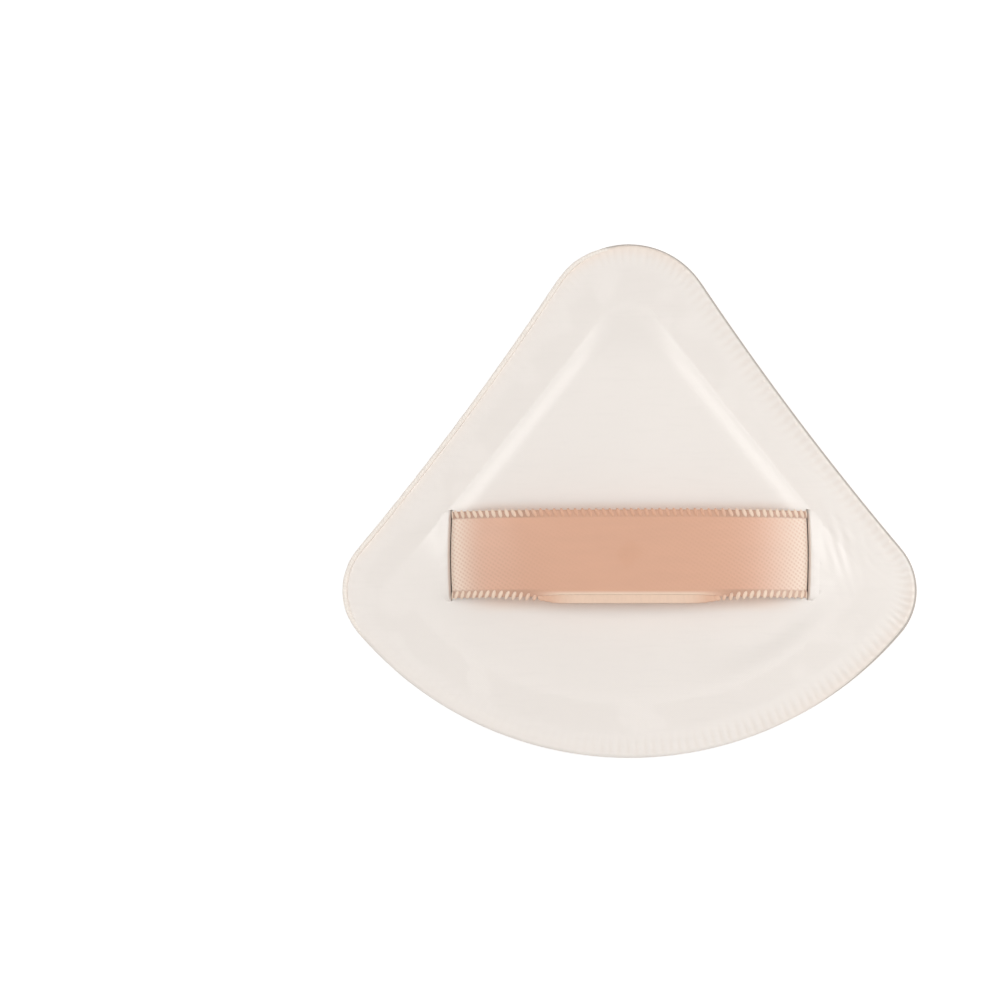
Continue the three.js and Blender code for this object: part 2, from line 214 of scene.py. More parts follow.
class BackShape(bpy.types.PropertyGroup):
    """The satin back, its raised middle and its rim"""

    tip_inset: length("Tip inset", "From the puff's tip to the raised middle", 8.2)
    base_inset: length("Base inset", "From the puff's base to the raised middle", 7.3)
    side_inset: length("Side inset", "From the puff's corners to the raised middle", 7.3)
    tip_radius: length("Raised tip radius", "Tip radius of the raised middle", 4.4)
    corner_radius: length("Raised corner radius", "Corner radius of the raised middle", 3.2)
    side_angle: turn("Raised side angle", "Side angle of the raised middle", 38.8)
    side_bow: length("Raised side bow", "How far its sides bow inwards", 0.3)
    step: length("Step", "Height of the raised middle's edge", 1.1)
    slope_width: length("Slope width", "Width of the slope inside its foot", 3.6)
    tip_fade: length("Tip fade", "How far from its tip the middle has its full height", 9)
    base_fade: length("Base fade", "How far from its base the middle has its full height", 11)
    base_fade_right: length("Base fade, right", "The same at the right, where it is crisper", 5)
    corner_fade: share("Corner fade", "How much lower the raised middle is in its corners", 0.75)
    slope_power: share("Slope power", "How soon the slope eases: 1 is straight", 2.1, 6)
    crown: length("Crown", "Further rise to the middle", 0.7)
    thickness: length("Cloth thickness", "Satin with its backing", 0.3)
    piping_radius: length("Piping radius", "Radius of the rolled edge where it hides the lip", 0.34)
    piping_tight: share("Piping tightness", "Share of that radius where the cover wraps it", 0.6)
    piping_inset: length("Piping inset", "From the puff's edge to the wrapped roll", 0.54)
    piping_inset_left: length("Piping inset, left", "The same where the roll hides the lip", 0.02)
    base_reach: length("Base reach", "How much further out the rim reaches round the base", 0.33)
    pucker_pitch: length("Pucker pitch", "From one stitch pucker to the next", 1.2)
    pucker_depth: length("Pucker depth", "Depth of the stitch puckers", 0.12)
    crease_depth: length("Crease depth", "Depth of the soft creases beside the slits", 0.13)
    slit_lift: length("Slit lift", "How far the ribbon lifts the cover outside a slit", 0.12)


class RibbonShape(bpy.types.PropertyGroup):
    """The finger ribbon and its looped edges"""

    width: metres("Width", "Across the ribbon with its looped edges", RIBBON_HIGH.y - RIBBON_LOW.y)
    span: metres("Span", "From fold to fold", RIBBON_HIGH.x - RIBBON_LOW.x)
    middle: metres("Middle", "Where it lies along the puff", (RIBBON_HIGH.y + RIBBON_LOW.y) / 2)
    thickness: length("Thickness", "Thickness of the ribbon", 0.35)
    lift: length("Lift", "Rise of the strap over its folds", 4.35)
    end_angle: turn("End angle", "Slope of the strap at its folds", 28)
    fold_radius: length("Fold radius", "Radius of the fold above a slit", 0.9)
    fold_height: length("Fold height", "Height of the fold above the flange", 1)
    crest_share: share("Crest share", "Reach of the curve at the crest", 0.55)
    end_share: share("End share", "Reach of the curve at the fold", 0.28)
    tail_length: length("Tail length", "From the fold to the end of a tail", 10.9)
    tail_angle: turn("Tail angle", "Slope of a tail as it leaves its slit", 26)
    tail_fold: length("Tail fold radius", "Radius where a tail turns back", 0.55)
    tail_ease: length("Tail ease radius", "Radius where a tail levels out", 1)
    slit_gap: length("Slit gap", "Width of a slit beyond the ribbon", 0.44)
    slit_bow: length("Slit bow", "How far a slit and the fold in it bow outwards", 0.22)
    loop_pitch: length("Loop pitch", "From one edge loop to the next", 0.94)
    loop_length: length("Loop length", "Length of an edge loop", 1.3)
    loop_width: length("Loop width", "Width of an edge loop", 0.56)
    loop_slant: turn("Loop slant", "Lean of an edge loop", 22)
    twill_pitch: length("Twill pitch", "From one twill line to the next", 0.5)
    twill_angle: turn("Twill angle", "Lean of the twill lines", 32)


class PuffColours(bpy.types.PropertyGroup):
    """The colours of the cloths and foams"""

    velour: colour("Velour", "Powdering face", 210, 174, 147)
    satin: colour("Satin", "Back cover", 241, 234, 228)
    piping: colour("Piping", "Rolled edge", 252, 243, 234)
    ribbon: colour("Ribbon", "Finger ribbon", 217, 164, 134)
    loops: colour("Ribbon loops", "Edge loops of the ribbon", 240, 214, 192)
    # The seam colour is mostly painted shade of the crevice under the rim, on velour that is
    # pressed flat there
    seam: colour("Seam", "Velour pressed flat at the rim", 195, 191, 186)
    core: colour("Core foam", "Foam core", 243, 234, 217)
    pad: colour("Pad foam", "Firm pad", 246, 243, 238)
    adhesive: colour("Adhesive", "Patches under the tails", 232, 226, 214)


class StudioShape(bpy.types.PropertyGroup):
    """The camera and the lights"""

    lens: FloatProperty(
        name="Lens", description="Focal length", default=145, subtype="DISTANCE_CAMERA"
    )
    frame_width: length("Frame width", "Width of the view at the puff", 136.4)
    aim_x: metres("Aim, x", "Point of the puff in the middle of the view", -17.6 * MM)
    aim_y: metres("Aim, y", "Point of the puff in the middle of the view", 0)
    azimuth: turn("Azimuth", "Turn of the camera to the right", 1.5)
    elevation: turn("Elevation", "Angle of the camera above the floor", 86.5)
    world: share("World light", "Strength of the even light all round", 0.35, 4)
    top: share("Top light", "Power of the wide light overhead, in watts", 4.05, 100)
    right: share("Right light", "Power of the soft light at the right, in watts", 0.3, 100)
    left: share("Left light", "Power of the soft light at the left, in watts", 0.5, 100)
    back_right: share("Back right light", "Power of the light behind it at the right", 0.18, 100)
    back_left: share("Back left light", "Power of the light behind it at the left", 0.62, 100)


class PuffSettings(bpy.types.PropertyGroup):
    """Everything that a user would change"""

    puff: PointerProperty(type=PuffShape)
    back: PointerProperty(type=BackShape)
    ribbon: PointerProperty(type=RibbonShape)
    colours: PointerProperty(type=PuffColours)
    studio: PointerProperty(type=StudioShape)
    seed: IntProperty(name="Seed", description="Start of every random pattern", default=7)


class Fan:
    """An outline with a rounded tip, two sides that bow inwards, two corners and a base arc."""

    def __init__(self, width, length, bottom, tip, corner, angle, bow, steps):
        # The corner circle and the tip circle, which a straight side at the angle would touch
        corner_x = width / 2 - corner
        drop = (corner_x * math.cos(angle) - (tip - corner)) / math.sin(angle)
        tip_y = bottom + length - tip
        right = np.array([corner_x, tip_y - drop])
        left = right * (-1, 1)
        top = np.array([0, tip_y])
        # The base's circle reaches the bottom and holds the corner circles inside
        rise = right[1] - bottom
        base = (corner_x**2 + rise**2 - corner**2) / (2 * (rise - corner))
        base_centre = np.array([0, bottom + base])
        # A side's circle touches the tip circle and a corner circle from outside
        apart = np.linalg.norm(top - right)
        side = (apart**2 - (tip - corner) ** 2) / (8 * bow) + bow / 2 - (tip + corner) / 2
        along = ((side + tip) ** 2 - (side + corner) ** 2 + apart**2) / (2 * apart)
        across = math.sqrt((side + tip) ** 2 - along**2)
        down = (right - top) / apart
        side_right = top + down * along + np.array([-down[1], down[0]]) * across
        side_left = side_right * (-1, 1)
        base_steps, corner_steps, side_steps, tip_steps = steps
        to = self.heading
        arcs = (
            (base_centre, base, to(base_centre, left), to(base_centre, right), 1, base_steps),
            (right, corner, to(base_centre, right), to(right, side_right), 1, corner_steps),
            (side_right, side, to(side_right, right), to(side_right, top), -1, side_steps),
            (top, tip, to(top, side_right), to(top, side_left), 1, tip_steps),
            (side_left, side, to(side_left, top), to(side_left, left), -1, side_steps),
            (left, corner, to(left, side_left), to(base_centre, left), 1, corner_steps),
        )
        self.lay(arcs)
        middle_y = (bottom + tip + tip_y * math.sin(angle)) / (1 + math.sin(angle))
        self.middle = np.array([0, middle_y])
        self.base_centre, self.base_radius = base_centre, base
        self.top = bottom + length
        self.reach = middle_y - bottom
        self.parallel = PARALLEL_SHARE * min(tip, corner)

    def lay(self, arcs):
        """Spreads points over arcs of a centre, radius, first and last heading, sense and count."""
        centres, radii, ways, signs = [], [], [], []
        for centre, radius, first, last, sense, count in arcs:
            sweep = sense * ((sense * (last - first)) % (2 * math.pi))
            angles = first + sweep * np.arange(count) / count
            centres.append(np.repeat([centre], count, axis=0))
            radii.append(np.full(count, radius))
            ways.append(np.stack([np.cos(angles), np.sin(angles)], axis=1))
            signs.append(np.full(count, -sense))
        self.centres = np.concatenate(centres)
        self.radii = np.concatenate(radii)
        self.ways = np.concatenate(ways)
        self.signs = np.concatenate(signs)
        self.normals = self.ways * -self.signs[:, None]

    @staticmethod
    def heading(start, end):
        return math.atan2(end[1] - start[1], end[0] - start[0])

    def ring(self, inset):
        """The outline set in by a distance, or by one distance for each point."""
        inset = np.broadcast_to(np.asarray(inset, float), self.radii.shape)
        even = np.minimum(inset, self.parallel)
        points = self.centres + self.ways * (self.radii + self.signs * even)[:, None]
        shrink = np.maximum(0, inset - self.parallel) / (self.reach - self.parallel)
        return points + (self.middle - points) * shrink[:, None]

    def along(self):
        """How far round the outline each point is."""
        points = self.ring(0)
        gaps = np.linalg.norm(np.roll(points, -1, axis=0) - points, axis=1)
        return np.concatenate([[0], np.cumsum(gaps)[:-1]])


def puff_fan(settings, steps):
    puff = settings.puff
    return Fan(
        puff.width,
        puff.length,
        -puff.length / 2,
        puff.tip_radius,
        puff.corner_radius,
        puff.side_angle,
        puff.side_bow,
        steps,
    )


def raised_fan(settings, steps):
    puff, back = settings.puff, settings.back
    return Fan(
        puff.width - 2 * back.side_inset,
        puff.length - back.base_inset - back.tip_inset,
        -puff.length / 2 + back.base_inset,
        back.tip_radius,
        back.corner_radius,
        back.side_angle,
        back.side_bow,
        steps,
    )


def level(points, height):
    """Outline points at a height, or each at its own."""
    heights = np.broadcast_to(np.asarray(height, float), (len(points),))
    return np.column_stack([points, heights])


def smooth(values, low, high):
    """A soft step from 0 at the low value to 1 at the high one."""
    t = np.clip((np.asarray(values, float) - low) / (high - low), 0, 1)
    return t * t * (3 - 2 * t)


def build_mesh(name, points, faces, material=None):
    """An object at the origin with a smooth mesh. Faces may mix triangles and quads."""
    mesh = bpy.data.meshes.new(name)
    mesh.from_pydata([tuple(p) for p in points], [], [tuple(f) for f in faces])
    mesh.validate()
    mesh.polygons.foreach_set("use_smooth", [True] * len(mesh.polygons))
    if material is not None:
        mesh.materials.append(material)
    piece = bpy.data.objects.new(name, mesh)
    bpy.context.scene.collection.objects.link(piece)
    return piece


def skin(rings, first, last):
    """Points and faces of a closed skin over rings that run outwards and upwards.

    The first ring and the last are each closed to a point.
    """
    count = len(rings[0])
    top = (len(rings) - 1) * count
    steps = np.arange(count)
    following = (steps + 1) % count
    points = np.concatenate([*rings, [first], [last]])
    strips = []
    for low in range(0, top, count):
        high = low + count
        strips.append((low + steps, low + following, high + following, high + steps))
    strips.append((np.full(count, len(points) - 2), following, steps))
    strips.append((np.full(count, len(points) - 1), top + steps, top + following))
    return points, [face for strip in strips for face in np.column_stack(strip).tolist()]


def tube(start, rows, around):
    """Faces of a closed tube with flat ends, whose rows of points are numbered from a start."""
    last = start + (rows - 1) * around
    faces = [tuple(range(start, start + around)), tuple(range(last, last + around))[::-1]]
    for row in range(start, last, around):
        for k in range(around):
            a, b = row + k, row + (k + 1) % around
            faces.append((a, a + around, b + around, b))
    return faces


def store(piece, name, values):
    """Keeps a number for each point of a piece's mesh."""
    attribute = piece.data.attributes.new(name, "FLOAT", "POINT")
    attribute.data.foreach_set("value", np.asarray(values, np.float32))


def finished(piece):
    """Makes a piece the plain mesh that its modifiers give."""
    depsgraph = bpy.context.evaluated_depsgraph_get()
    mesh = bpy.data.meshes.new_from_object(
        piece.evaluated_get(depsgraph), preserve_all_data_layers=True, depsgraph=depsgraph
    )
    mesh.name = piece.name
    piece.modifiers.clear()
    if piece.type == "MESH":
        piece.data = mesh
        return piece
    name = piece.name
    bpy.data.objects.remove(piece)
    made = bpy.data.objects.new(name, mesh)
    bpy.context.scene.collection.objects.link(made)
    return made


def declare(piece, slot, *nodes):
    """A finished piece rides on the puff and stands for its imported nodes."""
    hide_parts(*nodes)
    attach(piece, "root")


class Graph:
    """Adds and links the nodes of one tree."""

    def __init__(self, tree):
        self.tree = tree

    def feed(self, socket, value):
        if isinstance(value, Number):
            value = value.socket
        if isinstance(value, bpy.types.NodeSocket):
            self.tree.links.new(value, socket)
        else:
            socket.default_value = value

    def node(self, kind, inputs=None, **settings):
        made = self.tree.nodes.new(kind)
        for name, value in settings.items():
            setattr(made, name, value)
        for key, value in (inputs or {}).items():
            self.feed(made.inputs[key], value)
        return made

    def number(self, socket):
        return Number(self, socket)

    def noise(self, vector, scale=1.0, detail=2.0, roughness=0.5):
        inputs = {"Vector": vector, "Scale": scale, "Detail": detail, "Roughness": roughness}
        return self.number(self.node("ShaderNodeTexNoise", inputs).outputs[0])

    def grain(self, x, y, z, detail=1.0, roughness=0.5):
        """Noise at a place given by three numbers."""
        return self.noise(self.vector(x, y, z), 1.0, detail, roughness)

    def vector(self, x, y, z):
        made = self.node("ShaderNodeCombineXYZ", {0: x, 1: y, 2: z})
        return made.outputs[0]

    def parts(self, vector):
        made = self.node("ShaderNodeSeparateXYZ", {0: vector})
        return [self.number(socket) for socket in made.outputs[:3]]


class Number:
    """A number in a node tree. Arithmetic with it adds Math nodes."""

    def __init__(self, graph, socket):
        self.graph = graph
        self.socket = socket

    def math(self, operation, *others, **settings):
        inputs = dict(enumerate((self, *others)))
        made = self.graph.node("ShaderNodeMath", inputs, operation=operation, **settings)
        return Number(self.graph, made.outputs[0])

    def reversed(self, operation, other):
        made = self.graph.node("ShaderNodeMath", {0: other, 1: self}, operation=operation)
        return Number(self.graph, made.outputs[0])

    def __add__(self, other):
        return self.math("ADD", other)

    __radd__ = __add__

    def __mul__(self, other):
        return self.math("MULTIPLY", other)

    __rmul__ = __mul__

    def __sub__(self, other):
        return self.math("SUBTRACT", other)

    def __rsub__(self, other):
        return self.reversed("SUBTRACT", other)

    def __truediv__(self, other):
        return self.math("DIVIDE", other)

    def __pow__(self, other):
        return self.math("POWER", other)

    def __neg__(self):
        return self * -1.0

    def size(self):
        return self.math("ABSOLUTE")

    def held(self):
        return self.math("ADD", 0.0, use_clamp=True)

    def cosine(self):
        return self.math("COSINE")

    def wave(self, pitch=1.0):
        """A cosine wave with a pitch."""
        return (self * (2 * math.pi / pitch)).cosine()

    def bell(self, middle, width):
        """A bell curve that is 1 at the middle."""
        off = (self - middle) / width
        return (-(off * off)).math("EXPONENT")

    def step(self, low, high):
        """A soft step from 0 at the low value to 1 at the high one."""
        made = self.graph.node(
            "ShaderNodeMapRange",
            {"Value": self, "From Min": low, "From Max": high},
            interpolation_type="SMOOTHSTEP",
        )
        return Number(self.graph, made.outputs[0])


class Shape(Graph):
    """A Geometry Nodes tree with named inputs."""

    def __init__(self, name, lengths, numbers=()):
        super().__init__(bpy.data.node_groups.new(name, "GeometryNodeTree"))
        self.socket("Geometry", "Geometry")
        for entry in lengths:
            self.socket(entry, "Float").subtype = "DISTANCE"
        for entry in numbers:
            self.socket(entry, "Float")
        self.socket("Seed", "Int")
        self.socket("Material", "Material")
        self.socket("Geometry", "Geometry", "OUTPUT")
        self.start = self.node("NodeGroupInput")

    def __getitem__(self, name):
        return self.number(self.start.outputs[name])

    def socket(self, name, kind, way="INPUT"):
        """Adds an input or output of the whole tree."""
        return self.tree.interface.new_socket(name, in_out=way, socket_type=f"NodeSocket{kind}")

    def geometry(self):
        return self.start.outputs["Geometry"]

    def position(self):
        return self.parts(self.node("GeometryNodeInputPosition").outputs[0])

    def attribute(self, name):
        made = self.node("GeometryNodeInputNamedAttribute", {"Name": name}, data_type="FLOAT")
        return self.number(made.outputs["Attribute"])

    def keep(self, geometry, name, value):
        """Stores a number for each point under a name."""
        inputs = {"Geometry": geometry, "Name": name, "Value": value}
        return self.node("GeometryNodeStoreNamedAttribute", inputs, data_type="FLOAT").outputs[0]

    def moved(self, geometry, offset):
        inputs = {"Geometry": geometry, "Offset": offset}
        return self.node("GeometryNodeSetPosition", inputs).outputs[0]

    def end(self, geometry):
        """Every tree ends in plain faces with their material."""
        plain = self.node("GeometryNodeRealizeInstances", {"Geometry": geometry})
        soft = self.node("GeometryNodeSetShadeSmooth", {"Geometry": plain.outputs[0]})
        inputs = {"Geometry": soft.outputs[0], "Material": self.start.outputs["Material"]}
        painted = self.node("GeometryNodeSetMaterial", inputs)
        self.node("NodeGroupOutput", {0: painted.outputs[0]})
        return self.tree


def typed(sockets, name, kind):
    """The socket of one kind, where a node has several of a name."""
    return next(socket for socket in sockets if socket.name == name and socket.type == kind)


def apply_tree(piece, tree, values):
    """Adds a tree to a piece, with its inputs set by their identifiers."""
    modifier = piece.modifiers.new(tree.name, "NODES")
    modifier.node_group = tree
    left = dict(values)
    for item in tree.interface.items_tree:
        if item.item_type == "SOCKET" and item.in_out == "INPUT" and item.name in left:
            modifier[item.identifier] = left.pop(item.name)
    if left:
        raise RuntimeError(f"{tree.name} has no input named {sorted(left)}")


class Finish(Graph):
    """A material with one Principled surface in a cloth's colour."""

    def __init__(self, name, colour, **surface):
        self.material = bpy.data.materials.new(name)
        self.material.use_nodes = True
        super().__init__(self.material.node_tree)
        self.surface = self.tree.nodes["Principled BSDF"]
        self.colour = tuple(colour)
        self.material.diffuse_color = self.shade(1)
        self.paint(self.shade(1))
        for key, value in surface.items():
            self.surface.inputs[key.replace("_", " ")].default_value = value
        self.place = self.node("ShaderNodeTexCoord").outputs["Object"]

    def attribute(self, name):
        made = self.node("ShaderNodeAttribute", attribute_name=name)
        return self.number(made.outputs["Fac"])

    def cloth_place(self):
        made = self.node("ShaderNodeUVMap", uv_map="cloth")
        return self.parts(made.outputs[0])[:2]

    def shade(self, factor):
        """The cloth's colour, made darker or lighter by a factor."""
        return (*(min(1, c * factor) for c in self.colour), 1)

    def tint(self, base, other, amount):
        """Mixes a colour towards another by an amount."""
        made = self.node("ShaderNodeMix", {"Factor": amount}, data_type="RGBA")
        self.feed(made.inputs[6], base)
        self.feed(made.inputs[7], other)
        return made.outputs[2]

    def shades(self, low, high, amount):
        """The cloth's colour between two shades."""
        return self.tint(self.shade(low), self.shade(high), amount)

    def paint(self, colour):
        self.feed(self.surface.inputs["Base Color"], colour)

    def rough(self, amount):
        self.feed(self.surface.inputs["Roughness"], amount)

    def raise_surface(self, height, distance, strength):
        inputs = {"Height": height, "Distance": distance, "Strength": strength}
        self.feed(self.surface.inputs["Normal"], self.node("ShaderNodeBump", inputs).outputs[0])


def velour_finish(settings):
    puff, colours = settings.puff, settings.colours
    f = Finish(
        "Beige velour",
        colours.velour,
        Roughness=0.95,
        Specular_IOR_Level=0.15,
        Sheen_Weight=0.45,
        Sheen_Roughness=0.45,
        Sheen_Tint=solid(255, 236, 220),
    )
    broad = f.noise(f.place, 45, 3, 0.55)
    nap = f.noise(f.place, 2600, 2, 0.6)
    clumps = f.noise(f.place, 900, 3, 0.6)
    pile = f.tint(f.shades(0.93, 1.05, broad), f.shade(1.16), nap.step(0.45, 0.8) * 0.55)
    _, _, height = f.parts(f.place)
    # The top band of the lip is painted grey: painted shade of the crevice under the rim, on pile
    # pressed flat
    seam = height.step(puff.lip_top - 0.68 * MM, puff.lip_top - 0.48 * MM)
    f.paint(f.tint(pile, (*colours.seam, 1), seam * 0.9))
    f.raise_surface(nap * 0.6 + clumps * 0.6, 0.16 * MM, 0.7)
    return f.material


def satin_finish(settings):
    ribbon = settings.ribbon
    f = Finish(
        "White satin",
        settings.colours.satin,
        Roughness=0.33,
        IOR=1.6,
        Specular_IOR_Level=1.0,
        Sheen_Weight=0.08,
        Sheen_Roughness=0.4,
    )
    x, y, _ = f.parts(f.place)
    broad = f.noise(f.place, 60)
    threads = x.wave(0.32 * MM) * y.wave(0.26 * MM)
    slubs = f.grain(x * 240.0 + 3.3, y * 2200.0 + 1.7, 0.6, 2)
    thread = f.tint(f.shades(0.985, 1.012, broad), f.shade(0.975), slubs.step(0.5, 0.75) * 0.5)
    # The rim is tinted peach: a painted warm reflection inside its edge, strongest at the tip and
    # the corners
    rim_lit = f.tint(thread, solid(248, 224, 204), f.attribute("rim"))
    # The pucker troughs are painted darker: painted shade where the stitches draw the cloth in
    gathered = f.tint(rim_lit, solid(224, 209, 197), f.attribute("gather") * 0.3)
    # A peach tint beside and under the ribbon is a painted warm reflection of the ribbon on the
    # satin
    past = y - ribbon.middle
    below = (-past - ribbon.width / 2).step(0.0, 2.2 * MM)
    above = (past - ribbon.width / 2).step(-0.3 * MM, 1.6 * MM)
    span = 1.0 - x.size().step(17 * MM, 24 * MM)
    glow = (1.0 - below) * (1.0 - above) * span
    f.paint(f.tint(gathered, solid(242, 212, 190), glow * 0.6))
    f.rough(0.3 + broad * 0.07)
    f.raise_surface(threads * 0.5 + slubs * 0.9, 0.01 * MM, 0.5)
    return f.material


def piping_finish(settings):
    surface = {"Roughness": 0.5, "Specular_IOR_Level": 0.4, "Sheen_Weight": 0.15}
    f = Finish("Cream piping", settings.colours.piping, **surface)
    along, around = f.cloth_place()
    lay = (along / (0.42 * MM) + around).wave()
    fibres = f.noise(f.place, 1800, 3, 0.6)
    f.paint(f.shades(0.93, 1.03, lay * 0.25 + fibres * 0.6))
    f.raise_surface(lay * 0.5 + fibres * 0.5, 0.04 * MM, 0.6)
    return f.material


def ribbon_finish(settings):
    ribbon, colours = settings.ribbon, settings.colours
    f = Finish(
        "Peach ribbon satin",
        colours.ribbon,
        Roughness=0.4,
        IOR=1.6,
        Specular_IOR_Level=0.95,
        Sheen_Weight=0.12,
        Sheen_Roughness=0.35,
    )
    along, across = f.cloth_place()
    from_middle = along.size()
    sine, cosine = math.sin(ribbon.twill_angle), math.cos(ribbon.twill_angle)
    twill = ((along * sine + across * cosine) / ribbon.twill_pitch).wave()
    floats = (along * cosine - across * sine).wave(0.48 * MM)
    threads = across.wave(0.18 * MM)
    lines = (twill * 0.5 + 0.5) * (floats * 0.4 + 0.6)
    worn = f.grain(along * 160.0 + 7.3, across * 900.0 + 3.7, 0.6, 3, 0.55)
    shown = f.grain(along * 90.0 + 4.6, across * 90.0 + 2.2, 3.4, 2).step(0.35, 0.7)
    ends = from_middle.step(8 * MM, 22 * MM)
    lower = (across / (3 * MM)).step(1.6, -0.6)
    marked = lines * (shown * 0.14 + ends * lower * 0.66 + 0.03)
    woven = f.tint(f.shades(0.965, 1.05, worn), f.shade(0.86), marked)
    hem = across.step(-5.0 * MM, -5.5 * MM) * (1.0 - from_middle.step(8 * MM, 14 * MM))
    hemmed = f.tint(woven, (*colours.loops, 1), hem * 0.85)
    # The ribbon's ends, where it turns down into the slits, get a painted cream highlight
    fold = (along.step(15 * MM, 26 * MM) + (-along).step(18.5 * MM, 25.5 * MM)) ** 1.5
    fold_highlit = f.tint(hemmed, solid(246, 228, 210), fold * (0.86 - lines * 0.5))
    # The ribbon's edges are painted darker: painted shade under and between the loops, most towards
    # the ends and along the upper edge
    edge = across.size().step(4.7 * MM, 5.05 * MM) * from_middle.step(10 * MM, 15 * MM)
    upper = across.step(4.7 * MM, 5.05 * MM)
    f.paint(f.tint(fold_highlit, f.shade(0.7), (edge * 0.75 + upper * 0.3).held()))
    f.rough(0.36 + lines * 0.12)
    f.raise_surface((1.0 - lines) * (ends * 0.6 + 0.4) + threads * 0.12, 0.04 * MM, 0.42)
    return f.material


def loop_finish(settings):
    ribbon, colours = settings.ribbon, settings.colours
    surface = {"Roughness": 0.38, "Specular_IOR_Level": 0.7, "Sheen_Weight": 0.2}
    f = Finish("Ribbon edge thread", colours.loops, **surface)
    x, y, z = f.parts(f.place)
    fibres = f.grain(x * 2500.0, y * 700.0, z * 2500.0, 2)
    middle = 1.0 - x.size().step(11 * MM, 17 * MM)
    upper = y.step(ribbon.middle - 1 * MM, ribbon.middle + 1 * MM)
    band_ends = x.size().bell(11.5 * MM, 2.4 * MM) * (1.0 - upper) * 0.5
    faded = (middle * (upper * 0.68 + 0.26) + band_ends).held()
    f.paint(f.tint(f.shades(0.92, 1.06, fibres), (*colours.ribbon, 1), faded))
    f.raise_surface(fibres, 0.03 * MM, 0.5)
    return f.material


def foam_finish(name, colour, cell):
    """A foam whose cells have a size."""
    f = Finish(name, colour, Roughness=0.9, Specular_IOR_Level=0.2)
    inputs = {"Vector": f.place, "Scale": 1 / cell}
    cells = f.node("ShaderNodeTexVoronoi", inputs, feature="DISTANCE_TO_EDGE")
    walls = f.number(cells.outputs["Distance"]).step(0.0, 0.22)
    drift = f.noise(f.place, 120, 3)
    f.paint(f.tint(f.shades(0.72, 1.0, walls), f.shade(0.94), drift * 0.5))
    f.raise_surface(1.0 - walls, cell * 0.3, 0.8)
    return f.material


def adhesive_finish(settings):
    f = Finish("Fusible patch", settings.colours.adhesive, Roughness=0.55, Specular_IOR_Level=0.45)
    x, y, _ = f.parts(f.place)
    dots = (x.wave(0.9 * MM) * y.wave(0.9 * MM)).step(0.1, 0.7)
    web = f.noise(f.place, 1500, 3, 0.6)
    f.paint(f.shades(0.9, 1.04, dots * 0.6 + web * 0.4))
    f.raise_surface(dots + web * 0.4, 0.05 * MM, 0.6)
    return f.material


def crown_rings(fan, puff, depth, floor, steps):
    """Rings of the face from the side down to the level where it is flat, a depth inside."""
    side_height = puff.lip_top - puff.lip_rise
    width = puff.crown_width - depth
    height = side_height + puff.crown_pressed - depth
    power = 2 / puff.crown_fullness
    flat = math.asin(((side_height - floor) / height) ** (1 / power))
    rings = []
    for i in range(steps + 1):
        angle = flat * i / steps
        inset = depth + width * (1 - math.cos(angle) ** power)
        rings.append(level(fan.ring(inset), side_height - height * math.sin(angle) ** power))
    return rings


def inner_rings(rings, fan, count, height):
    """Rings that go on from the last one towards the fan's middle, at one height."""
    last = rings[-1][:, :2]
    made = []
    for i in range(1, count + 1):
        portion = i / (count + 1)
        made.append(level(last + (fan.middle - last) * portion, height))
    return made


class PuffPieces:
    """What every operator of the puff has in common"""

    bl_options = {"REGISTER", "UNDO"}


